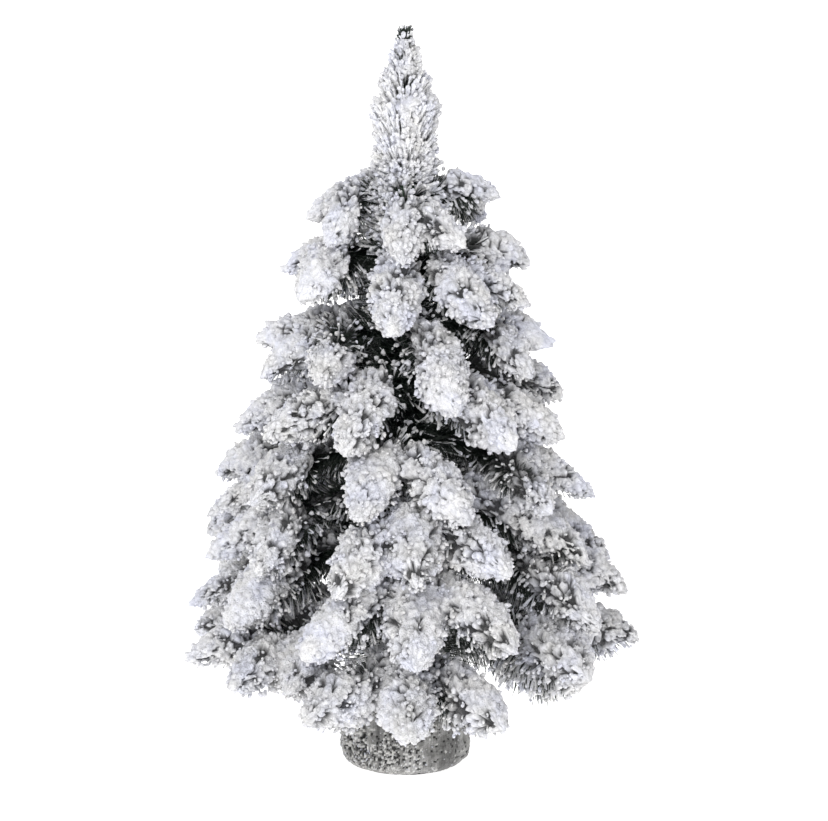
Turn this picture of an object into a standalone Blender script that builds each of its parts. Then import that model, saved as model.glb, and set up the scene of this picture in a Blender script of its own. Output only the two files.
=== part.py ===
"""Flocked artificial tabletop tree, 0.60 m tall.

Frame: metres, +Z up, origin on the ground plane at the centre of the base. The trunk runs up the Z axis.
Azimuths are in degrees round the trunk: 0 is the front (-Y), 90 is +X, 180 is the back.

The tree comes apart into a cast weight, its cloth wrap and foot pad, a trunk pole, one tape binding per
tier, the leader brush on top of the pole, and separate wire branches. Each branch is a twisted wire with
needles, forked into one to three tips. It bends at its root, so its origin lies on that bend's axis.
"""

import math

import bmesh
import bpy
from mathutils import Matrix, Vector

# ---------------------------------------------------------------- driving dimensions (metres)
TREE_HEIGHT = 0.600
GAP = 0.0003  # between pieces that rest on each other
SHARP_ANGLE = math.radians(40)  # edges bent further than this are shaded sharp

PAD_RADIUS = 0.0450
PAD_THICKNESS = 0.0012
PAD_BEVEL = 0.0004  # round the bottom edge
PAD_SEGMENTS = 48

WRAP_RADIUS = 0.0525
WRAP_SKIN = 0.0014
WRAP_BOTTOM = PAD_THICKNESS + GAP
WRAP_HEM_RADIUS = 0.0300  # the cloth turns under the weight as far as this
WRAP_CORNER = 0.0110
WRAP_CORNER_DEGREES = (0, 30, 60, 90)  # from straight down to straight out
WRAP_SEGMENTS = 44

FOLDS = 11
FOLD_START = 0.0300  # height where the gathers begin
FOLD_RISE = 0.0300  # height over which they reach full depth
FOLD_DEPTH = 0.10  # full depth, as a share of the radius
FOLD_UNEVENNESS = 0.9  # radians by which the folds drift from even spacing

WALL_DRAW_IN = 0.0004  # how far the wall leans in at its upper station
WALL_UPPER_Z = 0.0450
WALL_TOP = 0.0560
SHOULDER_Z = WALL_TOP + 0.0055
THROAT_Z = WALL_TOP + 0.0085
NECK_RADIUS = 0.0150
NECK_TOP = 0.0720
SHOULDER_SKIN = 0.0020  # upright thickness of the cloth at the shoulder and throat

# the cloth above its bottom corner: (radius, z), outside going up, then inside coming down
WRAP_OUTSIDE = [
    (WRAP_RADIUS, FOLD_START),
    (WRAP_RADIUS - WALL_DRAW_IN, WALL_UPPER_Z),
    (WRAP_RADIUS - 0.0030, WALL_TOP),
    (WRAP_RADIUS - 0.0120, SHOULDER_Z),
    (NECK_RADIUS + 0.0130, THROAT_Z),
    (NECK_RADIUS, NECK_TOP),
]
WRAP_INSIDE = [
    (NECK_RADIUS - 0.0030, NECK_TOP),
    (NECK_RADIUS + 0.0120, THROAT_Z - SHOULDER_SKIN),
    (WRAP_RADIUS - 0.0135, SHOULDER_Z - SHOULDER_SKIN),
    (WRAP_RADIUS - 0.0050, WALL_TOP - 0.0012),
    (WRAP_RADIUS - WALL_DRAW_IN - WRAP_SKIN, WALL_UPPER_Z),
    (WRAP_RADIUS - WRAP_SKIN, FOLD_START),
]

POLE_RADIUS = 0.0060
POLE_WALL = 0.0008
POLE_BOTTOM = 0.0150
POLE_TOP = 0.4700
POLE_SEGMENTS = 24
SLEEVE_RADIUS = POLE_RADIUS + GAP  # bore of the pieces that surround the pole

WEIGHT_CLEARANCE = 0.0010  # between its wall and the cloth
WEIGHT_FLOOR_INSET = 0.0005  # flat underside, short of where the cloth's corner begins
WEIGHT_CORNER_OUT = 0.64  # the corner point, as shares of the cloth's inner corner radius
WEIGHT_CORNER_UP = 0.36
WEIGHT_WALL_Z = (0.0140, 0.0290)  # foot and head of the upright wall
WEIGHT_SHOULDER_SHARE = 0.93  # the shoulder draws in under the cloth's folds
WEIGHT_SHOULDER_INSET = 0.0035
WEIGHT_SHOULDER_Z = 0.0440
WEIGHT_CHAMFER = 0.0045  # from the shoulder in to the rim
WEIGHT_RIM_Z = 0.0525
WEIGHT_SOCKET_TOP = 0.0540
WEIGHT_SEGMENTS = 44

BINDING_RADIUS = 0.0080
BINDING_HEIGHT = 0.0150
BINDING_EDGE_DROP = 0.0007  # how much smaller the radius is at the two edges
BINDING_EDGE_HEIGHT = 0.0030
BINDING_SEGMENTS = 16

ROOT_START = 0.0090  # distance from the trunk axis to a branch's inner end
HINGE_RADIUS = 0.0095  # distance from the trunk axis to a branch's bend
ROOT_SPREAD = 0.3  # farthest root from a binding's middle, as a share of its height
ROOT_SCALE = 0.0200  # a root this far off its tier's mean moves one binding height, before the limit
WIRE_RADIUS = 0.0011

TIP_HALF_WIDTH = 0.0150  # the needle brush, across the branch
TIP_HALF_HEIGHT = 0.0100  # the needle brush, up and down
BRUSH_SIDES = 6
BRUSH_START = 0.0060  # distance from the trunk axis where needles may begin to fan out
BRUSH_SPREAD = 0.20  # how fast the needles may fan out as the branches draw apart
BRUSH_END_SHARE = 0.30  # width left at the very tip, as a share of the full width

# Shares of a wire's curve: its stations, and where the brush starts to round off.
MAIN_STATIONS = (0.0, 0.035, 0.20, 0.40, 0.60, 0.80, 0.93, 1.0)
MAIN_ROUNDING = 0.80
MAIN_BARE = 0.04  # the main wire is bare up to here
TWIG_STATIONS = (0.0, 0.30, 0.58, 0.80, 0.93, 1.0)
TWIG_ROUNDING = 0.78

# Lengths of a curve's two handles, as shares of the distance from its start to its tip
START_HANDLE = 0.38
TIP_HANDLE = 0.36
ROOT_DROOP = 0.02  # how steeply a main wire falls as it leaves the trunk

# A twig forks off at a share of the main wire's curve, nearer the trunk when it turns far aside.
WIDE_FORK_DEGREES = 30
WIDE_FORK = 0.34
NARROW_FORK = 0.40
# The direction of a twig's tip blends outwards, along the twig, and down.
TWIG_OUTWARD = 0.7
TWIG_ALONG = 0.5
TWIG_DROOP = 0.8  # share of the tier's droop

LEADER_ROOT = 0.4710
LEADER_HINGE = 0.4760  # height of the leader's origin
LEADER_RISE = TREE_HEIGHT - LEADER_HINGE
LEADER_WIRE_RADIUS = 0.0016
LEADER_TUFT_RADIUS = 0.0050
LEADER_SEGMENTS = 16

# (radius, z above the leader's origin), from the bottom up
LEADER_PROFILE = [
    (0, LEADER_ROOT - LEADER_HINGE),
    (LEADER_WIRE_RADIUS, LEADER_ROOT - LEADER_HINGE),
    (LEADER_WIRE_RADIUS, 0.0085),
    (0.0130, 0.0125),
    (0.0205, 0.0250),
    (0.0225, 0.0440),
    (0.0205, 0.0610),
    (0.0150, 0.0740),
    (0.0120, 0.0880),
    (0.0095, 0.1020),
    (LEADER_TUFT_RADIUS, 0.1100),
    (LEADER_TUFT_RADIUS, LEADER_RISE - 0.0015),
    (0, LEADER_RISE),
]

# One row per tier, from the bottom: how far a branch's root lies above its tip as a share of its reach,
# how steeply a tip hangs, how much a twig rises as it leaves its fork, and the branches. A branch is a
# list of tips, and the first is the end of its main wire. A tip is (azimuth, reach from the trunk axis,
# height).
TIERS = [
    (0.15, 0.34, -0.12, [
        [(1, 0.186, 0.071), (-24, 0.187, 0.080), (24, 0.185, 0.073)],
        [(94, 0.196, 0.097), (49, 0.189, 0.099)],
        [(136, 0.186, 0.086), (114, 0.188, 0.094)],
        [(182, 0.185, 0.078), (159, 0.185, 0.082), (205, 0.185, 0.082)],
        [(229, 0.187, 0.088), (256, 0.185, 0.098)],
        [(-75, 0.184, 0.095), (-47, 0.186, 0.093), (-35, 0.158, 0.090)],
    ]),
    (0.30, 0.50, 0.00, [
        [(3, 0.178, 0.120), (-26, 0.178, 0.124), (28, 0.178, 0.129)],
        [(83, 0.183, 0.146), (56, 0.183, 0.132)],
        [(123, 0.180, 0.137), (148, 0.178, 0.131)],
        [(195, 0.176, 0.128), (171, 0.176, 0.131), (218, 0.176, 0.131)],
        [(244, 0.178, 0.140)],
        [(-86, 0.178, 0.132), (-55, 0.172, 0.135)],
    ]),
    (0.33, 0.55, 0.12, [
        [(3, 0.162, 0.179), (-19, 0.164, 0.170), (30, 0.162, 0.184)],
        [(67, 0.160, 0.176)],
        [(123, 0.163, 0.183), (100, 0.175, 0.161), (145, 0.161, 0.182)],
        [(190, 0.161, 0.179), (167, 0.162, 0.182), (213, 0.162, 0.181)],
        [(236, 0.163, 0.185), (256, 0.172, 0.181)],
        [(-76, 0.166, 0.177), (-48, 0.159, 0.176)],
    ]),
    (0.33, 0.55, 0.12, [
        [(-14, 0.147, 0.226), (19, 0.149, 0.223)],
        [(84, 0.156, 0.222), (52, 0.146, 0.223)],
        [(124, 0.149, 0.232), (153, 0.148, 0.227)],
        [(211, 0.149, 0.229), (182, 0.149, 0.231), (254, 0.165, 0.229)],
        [(-81, 0.163, 0.208), (-55, 0.147, 0.228)],
    ]),
    (0.33, 0.55, 0.12, [
        [(-20, 0.136, 0.275), (-59, 0.131, 0.277)],
        [(39, 0.136, 0.275), (73, 0.134, 0.273)],
        [(101, 0.134, 0.298), (130, 0.136, 0.279)],
        [(184, 0.136, 0.275), (158, 0.136, 0.279), (210, 0.136, 0.278)],
        [(237, 0.136, 0.283)],
        [(-92, 0.140, 0.272)],
    ]),
    (0.33, 0.55, 0.12, [
        [(19, 0.124, 0.304)],
        [(88, 0.121, 0.343), (59, 0.117, 0.324)],
        [(127, 0.121, 0.331), (160, 0.121, 0.326)],
        [(222, 0.121, 0.328), (192, 0.122, 0.329), (251, 0.118, 0.338)],
        [(-72, 0.122, 0.321), (-89, 0.122, 0.347), (-34, 0.121, 0.325)],
    ]),
    (0.33, 0.55, 0.12, [
        [(-6, 0.110, 0.363)],
        [(40, 0.107, 0.367), (73, 0.105, 0.378)],
        [(101, 0.105, 0.406), (136, 0.105, 0.384)],
        [(205, 0.106, 0.381), (170, 0.107, 0.384), (239, 0.105, 0.386)],
        [(-91, 0.100, 0.403), (-55, 0.103, 0.385)],
    ]),
    (0.33, 0.55, 0.12, [
        [(-1, 0.089, 0.415), (34, 0.085, 0.427)],
        [(87, 0.078, 0.462), (127, 0.082, 0.443)],
        [(195, 0.085, 0.437), (161, 0.084, 0.441)],
        [(-90, 0.081, 0.445), (-48, 0.084, 0.428)],
        [(231, 0.082, 0.446)],
    ]),
]

# kind: (base colour, roughness, metallic)
FINISHES = {
    "flock": ((0.78, 0.78, 0.82), 0.95, 0.0),
    "cloth": ((0.33, 0.32, 0.32), 0.95, 0.0),
    "cement": ((0.42, 0.41, 0.40), 0.85, 0.0),
    "felt": ((0.06, 0.06, 0.06), 0.95, 0.0),
    "pole": ((0.05, 0.08, 0.05), 0.45, 0.3),
    "tape": ((0.05, 0.11, 0.06), 0.60, 0.0),
}


# ---------------------------------------------------------------- helpers
def material(name, kind):
    colour, roughness, metallic = FINISHES[kind]
    made = bpy.data.materials.new(name)
    made.use_nodes = True
    shader = made.node_tree.nodes["Principled BSDF"]
    shader.inputs["Base Color"].default_value = (*colour, 1.0)
    shader.inputs["Roughness"].default_value = roughness
    shader.inputs["Metallic"].default_value = metallic
    made.diffuse_color = (*colour, 1.0)
    return made


def face_out(solid):
    """Turns a closed bmesh's faces outwards."""
    bmesh.ops.recalc_face_normals(solid, faces=solid.faces)
    if solid.calc_volume(signed=True) < 0:
        bmesh.ops.reverse_faces(solid, faces=solid.faces)


def finish(name, solid, kind, origin=(0, 0, 0), turn=0.0):
    """An object from a bmesh in its own frame, placed at origin and turned about Z."""
    face_out(solid)
    mesh = bpy.data.meshes.new(name)
    solid.to_mesh(mesh)
    solid.free()
    mesh.shade_smooth()
    mesh.set_sharp_from_angle(angle=SHARP_ANGLE)
    mesh.materials.append(material(name, kind))
    made = bpy.data.objects.new(name, mesh)
    bpy.context.scene.collection.objects.link(made)
    made.location = origin
    made.rotation_euler = (0, 0, turn)
    return made


def bridge(solid, low, high):
    """Quads between two rings of the same count."""
    count = len(low)
    for k in range(count):
        n = (k + 1) % count
        solid.faces.new((low[k], low[n], high[n], high[k]))


def lathe(profile, segments, shape=None):
    """A solid from (radius, z) points turned about Z. It closes at points of radius 0, or else joins its
    last ring to its first. shape(radius, z, angle) can change a point's radius."""
    solid = bmesh.new()
    rings = []
    for radius, z in profile:
        if radius == 0:
            rings.append([solid.verts.new((0, 0, z))])
            continue
        ring = []
        for k in range(segments):
            angle = 2 * math.pi * k / segments
            shaped = shape(radius, z, angle) if shape else radius
            ring.append(solid.verts.new((shaped * math.cos(angle), shaped * math.sin(angle), z)))
        rings.append(ring)
    pairs = list(zip(rings, rings[1:]))
    if len(rings[0]) > 1 and len(rings[-1]) > 1:
        pairs.append((rings[-1], rings[0]))
    for low, high in pairs:
        if len(low) > 1 and len(high) > 1:
            bridge(solid, low, high)
            continue
        for k in range(segments):
            n = (k + 1) % segments
            if len(low) == 1:
                solid.faces.new((low[0], high[k], high[n]))
            else:
                solid.faces.new((low[k], low[n], high[0]))
    return solid


def bezier(start, leave, arrive, tip, t):
    """The point at share t of a cubic curve, given its ends and its two handle points."""
    u = 1 - t
    return start * u**3 + leave * 3 * u * u * t + arrive * 3 * u * t * t + tip * t**3


def bezier_slope(start, leave, arrive, tip, t):
    u = 1 - t
    return (leave - start) * 3 * u * u + (arrive - leave) * 6 * u * t + (tip - arrive) * 3 * t * t


def loft(stations, sides):
    """A closed tube with an elliptic section. A station is (point, slope, half width, half height)."""
    solid = bmesh.new()
    rings = []
    for point, slope, half_width, half_height in stations:
        ahead = slope.normalized()
        across = ahead.cross(Vector((0, 0, 1))).normalized()
        above = across.cross(ahead).normalized()
        ring = []
        for k in range(sides):
            angle = 2 * math.pi * k / sides
            sideways = across * (half_width * math.cos(angle))
            upwards = above * (half_height * math.sin(angle))
            ring.append(solid.verts.new(point + sideways + upwards))
        rings.append(ring)
    for low, high in zip(rings, rings[1:]):
        bridge(solid, low, high)
    solid.faces.new(list(reversed(rings[0])))
    solid.faces.new(rings[-1])
    return solid


def polar(azimuth, radius, z):
    angle = math.radians(azimuth)
    return Vector((radius * math.sin(angle), -radius * math.cos(angle), z))


# ---------------------------------------------------------------- base
def foot_pad():
    profile = [
        (0, 0),
        (PAD_RADIUS - PAD_BEVEL, 0),
        (PAD_RADIUS, PAD_BEVEL),
        (PAD_RADIUS, PAD_THICKNESS),
        (0, PAD_THICKNESS),
    ]
    finish("foot_pad", lathe(profile, PAD_SEGMENTS), "felt")


def gather(radius, z, angle):
    """The cloth's gathers: shallow on the wall, deep on the shoulder, none lower down."""
    if z < FOLD_START:
        return radius
    deep = min(1.0, (z - FOLD_START) / FOLD_RISE)
    wave = 0.5 + 0.5 * math.cos(FOLDS * angle + FOLD_UNEVENNESS * math.sin(2 * angle))
    return radius * (1.0 - FOLD_DEPTH * deep * (1.0 - wave))


def wrap_corner(corner_radius):
    """The cloth's bottom corner as (radius, z) points, from the underside out to the wall."""
    angles = [math.radians(degrees) for degrees in WRAP_CORNER_DEGREES]
    return [
        (
            WRAP_RADIUS - WRAP_CORNER + corner_radius * math.sin(angle),
            WRAP_BOTTOM + WRAP_CORNER - corner_radius * math.cos(angle),
        )
        for angle in angles
    ]


def base_wrap():
    """The cloth, from the hem up the outside to the neck, and back down inside."""
    profile = [
        (WRAP_HEM_RADIUS, WRAP_BOTTOM),
        *wrap_corner(WRAP_CORNER),
        *WRAP_OUTSIDE,
        *WRAP_INSIDE,
        *reversed(wrap_corner(WRAP_CORNER - WRAP_SKIN)),
        (WRAP_HEM_RADIUS, WRAP_BOTTOM + WRAP_SKIN),
    ]
    finish("base_wrap", lathe(profile, WRAP_SEGMENTS, gather), "cloth")


def base_weight():
    """The weight fills the cloth up to just under its gathers, and holds the pole in a blind socket."""
    low = WRAP_BOTTOM + WRAP_SKIN + GAP
    cloth_inside = WRAP_RADIUS - WRAP_SKIN
    corner_centre = WRAP_RADIUS - WRAP_CORNER
    inner_corner = WRAP_CORNER - WRAP_SKIN
    wall = cloth_inside - WEIGHT_CLEARANCE
    shoulder = cloth_inside * WEIGHT_SHOULDER_SHARE - WEIGHT_SHOULDER_INSET
    socket_floor = POLE_BOTTOM - GAP
    profile = [
        (0, low),
        (corner_centre - WEIGHT_FLOOR_INSET, low),
        (corner_centre + inner_corner * WEIGHT_CORNER_OUT, low + inner_corner * WEIGHT_CORNER_UP),
        *[(wall, z) for z in WEIGHT_WALL_Z],
        (shoulder, WEIGHT_SHOULDER_Z),
        (shoulder - WEIGHT_CHAMFER, WEIGHT_RIM_Z),
        (SLEEVE_RADIUS, WEIGHT_SOCKET_TOP),
        (SLEEVE_RADIUS, socket_floor),
        (0, socket_floor),
    ]
    finish("base_weight", lathe(profile, WEIGHT_SEGMENTS), "cement")


# ---------------------------------------------------------------- trunk
def trunk_pole():
    """A thin tube, open at both ends."""
    inside = POLE_RADIUS - POLE_WALL
    profile = [
        (inside, POLE_BOTTOM),
        (POLE_RADIUS, POLE_BOTTOM),
        (POLE_RADIUS, POLE_TOP),
        (inside, POLE_TOP),
    ]
    finish("trunk_pole", lathe(profile, POLE_SEGMENTS), "pole")


def binding(name, middle):
    """Tape wound round the pole at one tier's roots. Its two edges are thinner than its middle."""
    low, high = middle - BINDING_HEIGHT / 2, middle + BINDING_HEIGHT / 2
    edge_radius = BINDING_RADIUS - BINDING_EDGE_DROP
    profile = [
        (SLEEVE_RADIUS, low),
        (edge_radius, low),
        (BINDING_RADIUS, low + BINDING_EDGE_HEIGHT),
        (BINDING_RADIUS, high - BINDING_EDGE_HEIGHT),
        (edge_radius, high),
        (SLEEVE_RADIUS, high),
    ]
    finish(name, lathe(profile, BINDING_SEGMENTS), "tape")


# ---------------------------------------------------------------- branches
def brush_size(distance, share, rounding_start):
    """The needle brush's half width at a distance from the trunk axis. The needles fan out as the
    neighbours leave them room, and past rounding_start the brush rounds off."""
    room = BRUSH_SPREAD * max(distance - BRUSH_START, 0.0)
    grown = min(TIP_HALF_WIDTH, WIRE_RADIUS + room)
    past = max(0.0, (share - rounding_start) / (1.0 - rounding_start))
    rounding = math.sqrt(max(0.0, 1.0 - past**2))
    return max(WIRE_RADIUS, grown * (BRUSH_END_SHARE + (1.0 - BRUSH_END_SHARE) * rounding))


def wire_curve(start, leave, tip, arrive):
    """A wire's cubic curve. leave and arrive are its directions at the two ends."""
    reach = (tip - start).length
    return (
        start,
        start + leave.normalized() * reach * START_HANDLE,
        tip - arrive.normalized() * reach * TIP_HANDLE,
        tip,
    )


def brush(curve, shares, rounding_start, bare_until=0.0):
    """A wire with its needles, bare before the share bare_until."""
    stations = []
    for share in shares:
        point = bezier(*curve, share)
        if share < bare_until:
            half_width = WIRE_RADIUS
        else:
            half_width = brush_size(math.hypot(point.x, point.y), share, rounding_start)
        half_height = max(WIRE_RADIUS, half_width * TIP_HALF_HEIGHT / TIP_HALF_WIDTH)
        stations.append((point, bezier_slope(*curve, share), half_width, half_height))
    return loft(stations, BRUSH_SIDES)


def twig_curve(main_curve, main_azimuth, twig_tip, droop, lift):
    """The curve of a twig, from its fork on the main wire to its tip."""
    azimuth, reach, height = twig_tip
    wide = abs(azimuth - main_azimuth) > WIDE_FORK_DEGREES
    fork = bezier(*main_curve, WIDE_FORK if wide else NARROW_FORK)
    tip = polar(azimuth, reach, height)
    along = (tip - fork).normalized()
    leave = along + Vector((0, 0, lift))
    down = Vector((0, 0, -TWIG_DROOP * droop))
    arrive = polar(azimuth, 1, 0) * TWIG_OUTWARD + along * TWIG_ALONG + down
    return wire_curve(fork, leave, tip, arrive)


def branch(name, tips, root_z, droop, lift):
    """One branch, shaped in world coordinates, then moved so that its origin is on its hinge and its +X
    points outwards. Hidden twigs are joined to the main wire by modifiers."""
    azimuth, reach, height = tips[0]
    out = polar(azimuth, 1, 0)
    main_curve = wire_curve(
        start=polar(azimuth, ROOT_START, root_z),
        leave=out + Vector((0, 0, -ROOT_DROOP)),
        tip=polar(azimuth, reach, height),
        arrive=out + Vector((0, 0, -droop)),
    )
    hinge = polar(azimuth, HINGE_RADIUS, root_z)
    turn = math.radians(azimuth - 90)
    to_local = Matrix.Rotation(-turn, 4, "Z") @ Matrix.Translation(-hinge)

    main = brush(main_curve, MAIN_STATIONS, MAIN_ROUNDING, MAIN_BARE)
    main.transform(to_local)
    made = finish(name, main, "flock", hinge, turn)
    for number, twig_tip in enumerate(tips[1:], 1):
        curve = twig_curve(main_curve, azimuth, twig_tip, droop, lift)
        solid = brush(curve, TWIG_STATIONS, TWIG_ROUNDING)
        solid.transform(to_local)
        twig = finish(f"{name}_twig{number}", solid, "flock", hinge, turn)
        twig.hide_render = True
        twig.display_type = "WIRE"
        join = made.modifiers.new(f"fork{number}", "BOOLEAN")
        join.operation = "UNION"
        join.solver = "EXACT"
        join.object = twig


def root_height(tips, rise):
    """Where a branch would leave the trunk: above its main tip by a share of its reach."""
    _, reach, height = tips[0]
    return height + rise * (reach - HINGE_RADIUS)


def tier(name, rise, droop, lift, branches):
    """One tier's branches, which all leave the trunk within its binding."""
    roots = [root_height(tips, rise) for tips in branches]
    middle = sum(roots) / len(roots)
    for number, (tips, root) in enumerate(zip(branches, roots), 1):
        offset = max(-ROOT_SPREAD, min(ROOT_SPREAD, (root - middle) / ROOT_SCALE))
        root_z = middle + offset * BINDING_HEIGHT
        branch(f"{name}_branch{number}", tips, root_z, droop, lift)
    binding(f"{name}_binding", middle)


def leader():
    """The spire: a bare wire at the pole, a wide skirt of needles, a narrowing neck and a thin tuft."""
    solid = lathe(LEADER_PROFILE, LEADER_SEGMENTS)
    finish("leader", solid, "flock", (0, 0, LEADER_HINGE))


def build():
    for old in list(bpy.data.objects):
        bpy.data.objects.remove(old, do_unlink=True)
    foot_pad()
    base_wrap()
    base_weight()
    trunk_pole()
    for number, row in enumerate(TIERS, 1):
        tier(f"tier{number}", *row)
    leader()


build()
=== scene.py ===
"""Looks of a flocked tabletop tree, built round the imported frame.

The pole stands on the Z axis, with the base just above z = 0. The front faces -Y and the right is +X. Azimuths are in
degrees from the front towards the right. Every branch is a twisted wire with PVC needles whose outer ends carry lumps
of white flock. The base is a cast weight in a coarse cloth, gathered at the trunk and dusted with the same flock.
"""

import math
from functools import cached_property

import bpy
import numpy as np
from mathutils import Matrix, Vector


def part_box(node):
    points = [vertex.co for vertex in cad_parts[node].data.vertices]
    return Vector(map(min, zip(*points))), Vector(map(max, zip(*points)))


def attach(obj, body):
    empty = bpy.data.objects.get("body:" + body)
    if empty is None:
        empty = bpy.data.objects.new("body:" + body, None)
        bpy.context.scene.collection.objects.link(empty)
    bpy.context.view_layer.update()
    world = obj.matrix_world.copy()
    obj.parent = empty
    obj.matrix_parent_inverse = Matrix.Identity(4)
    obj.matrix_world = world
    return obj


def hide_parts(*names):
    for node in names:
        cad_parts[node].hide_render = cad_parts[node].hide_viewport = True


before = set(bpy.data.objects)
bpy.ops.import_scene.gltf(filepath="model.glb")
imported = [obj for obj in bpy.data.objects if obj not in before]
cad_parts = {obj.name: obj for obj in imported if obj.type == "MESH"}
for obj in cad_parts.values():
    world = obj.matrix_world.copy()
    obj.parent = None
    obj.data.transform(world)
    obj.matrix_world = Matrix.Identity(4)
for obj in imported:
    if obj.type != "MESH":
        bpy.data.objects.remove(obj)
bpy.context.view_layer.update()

# ---------------------------------------------------------------- the tree's layout, as in the frame
HINGE_RADIUS = 0.0095
ROOT_START = 0.0090  # how far from the axis a wire starts
BINDING_HEIGHT = 0.0150
LEADER_HINGE = 0.4760

# Tiers from the bottom up. Each has its rise (how far the root is above the tip, as a share of the reach), droop (at the
# tips), lift (of a side wire as it leaves its fork), widest (the fullest brush radius), snow (how much flock) and bare
# (how little of it reaches the inside). Then come its branches: the tips of the main wire and of its side wires, as
# (azimuth, reach, height).
TIERS = [
    (0.15, 0.34, -0.12, 0.0275, 0.52, 0.75, [
        [(1, 0.186, 0.071), (-24, 0.187, 0.080), (24, 0.185, 0.073)],
        [(94, 0.196, 0.097), (49, 0.189, 0.099)],
        [(136, 0.186, 0.086), (114, 0.188, 0.094)],
        [(182, 0.185, 0.078), (159, 0.185, 0.082), (205, 0.185, 0.082)],
        [(229, 0.187, 0.088), (256, 0.185, 0.098)],
        [(-75, 0.184, 0.095), (-47, 0.186, 0.093), (-35, 0.158, 0.090)],
    ]),
    (0.30, 0.50, 0.00, 0.0275, 0.52, 0.75, [
        [(3, 0.178, 0.120), (-26, 0.178, 0.124), (28, 0.178, 0.129)],
        [(83, 0.183, 0.146), (56, 0.183, 0.132)],
        [(123, 0.180, 0.137), (148, 0.178, 0.131)],
        [(195, 0.176, 0.128), (171, 0.176, 0.131), (218, 0.176, 0.131)],
        [(244, 0.178, 0.140)],
        [(-86, 0.178, 0.132), (-55, 0.172, 0.135)],
    ]),
    (0.33, 0.55, 0.12, 0.0270, 0.52, 0.75, [
        [(3, 0.162, 0.179), (-19, 0.164, 0.170), (30, 0.162, 0.184)],
        [(67, 0.160, 0.176)],
        [(123, 0.163, 0.183), (100, 0.175, 0.161), (145, 0.161, 0.182)],
        [(190, 0.161, 0.179), (167, 0.162, 0.182), (213, 0.162, 0.181)],
        [(236, 0.163, 0.185), (256, 0.172, 0.181)],
        [(-76, 0.166, 0.177), (-48, 0.159, 0.176)],
    ]),
    (0.33, 0.55, 0.12, 0.0265, 0.52, 0.75, [
        [(-14, 0.147, 0.226), (19, 0.149, 0.223)],
        [(84, 0.156, 0.222), (52, 0.146, 0.223)],
        [(124, 0.149, 0.232), (153, 0.148, 0.227)],
        [(211, 0.149, 0.229), (182, 0.149, 0.231), (254, 0.165, 0.229)],
        [(-81, 0.163, 0.208), (-55, 0.147, 0.228)],
    ]),
    (0.33, 0.55, 0.12, 0.0260, 0.53, 0.75, [
        [(-20, 0.136, 0.275), (-59, 0.131, 0.277)],
        [(39, 0.136, 0.275), (73, 0.134, 0.273)],
        [(101, 0.134, 0.298), (130, 0.136, 0.279)],
        [(184, 0.136, 0.275), (158, 0.136, 0.279), (210, 0.136, 0.278)],
        [(237, 0.136, 0.283)],
        [(-92, 0.140, 0.272)],
    ]),
    (0.33, 0.55, 0.12, 0.0250, 0.55, 0.70, [
        [(19, 0.124, 0.304)],
        [(88, 0.121, 0.343), (59, 0.117, 0.324)],
        [(127, 0.121, 0.331), (160, 0.121, 0.326)],
        [(222, 0.121, 0.328), (192, 0.122, 0.329), (251, 0.118, 0.338)],
        [(-72, 0.122, 0.321), (-89, 0.122, 0.347), (-34, 0.121, 0.325)],
    ]),
    (0.33, 0.55, 0.12, 0.0235, 0.58, 0.55, [
        [(-6, 0.110, 0.363)],
        [(40, 0.107, 0.367), (73, 0.105, 0.378)],
        [(101, 0.105, 0.406), (136, 0.105, 0.384)],
        [(205, 0.106, 0.381), (170, 0.107, 0.384), (239, 0.105, 0.386)],
        [(-91, 0.100, 0.403), (-55, 0.103, 0.385)],
    ]),
    (0.33, 0.55, 0.12, 0.0215, 0.64, 0.25, [
        [(-1, 0.089, 0.415), (34, 0.085, 0.427)],
        [(87, 0.078, 0.462), (127, 0.082, 0.443)],
        [(195, 0.085, 0.437), (161, 0.084, 0.441)],
        [(-90, 0.081, 0.445), (-48, 0.084, 0.428)],
        [(231, 0.082, 0.446)],
    ]),
]

# Brushes slimmer or fuller than the rest of their tier. (tier, branch, wire): share of the usual width
WIDTH_SHARES = {
    (7, 3, 0): 1.16, (7, 5, 1): 1.20, (1, 2, 1): 1.12, (4, 5, 0): 0.56, (3, 6, 0): 0.80,
    (2, 6, 0): 0.64, (5, 6, 0): 0.84, (4, 2, 0): 0.74, (3, 3, 0): 0.82, (1, 6, 0): 0.88,
    (3, 3, 1): 0.74, (6, 2, 0): 0.84, (2, 2, 0): 0.86,
}

# Needles that hang below a wire: how many, from and to (shares of the wire), the longest (m), and the share of them that
# is dusted. Every wire has a skirt; some have a fringe of more needles.
MAIN_SKIRT = (260, 0.10, 0.56, 0.030, 0.12)
SIDE_SKIRT = (150, 0.05, 0.45, 0.028, 0.12)
SPECIAL_SKIRTS = {wire: (420, 0.22, 0.84, 0.034, 0.45) for wire in ((1, 2, 0), (1, 2, 1))}
FRINGES = {
    (1, 2, 0): (620, 0.06, 0.60, 0.048, 0.12),
    (1, 2, 1): (640, 0.00, 0.54, 0.045, 0.38),
    (1, 3, 0): (420, 0.10, 0.62, 0.048, 0.08),
    (1, 3, 1): (260, 0.00, 0.55, 0.046, 0.08),
    (2, 2, 0): (560, 0.08, 0.62, 0.047, 0.06),
    (2, 2, 1): (340, 0.00, 0.50, 0.040, 0.08),
    (2, 3, 0): (460, 0.12, 0.75, 0.047, 0.08),
    (2, 3, 1): (300, 0.10, 0.90, 0.036, 0.12),
    (7, 4, 0): (180, 0.15, 0.80, 0.030, 0.12),
    (7, 4, 2): (180, 0.05, 0.85, 0.032, 0.12),
    (7, 5, 1): (140, 0.05, 0.75, 0.026, 0.12),
}

# ---------------------------------------------------------------- directions and wires
UP = np.array([0.0, 0.0, 1.0])


def unit(vectors):
    vectors = np.asarray(vectors, float)
    return vectors / np.maximum(np.linalg.norm(vectors, axis=-1, keepdims=True), 1e-12)


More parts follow.
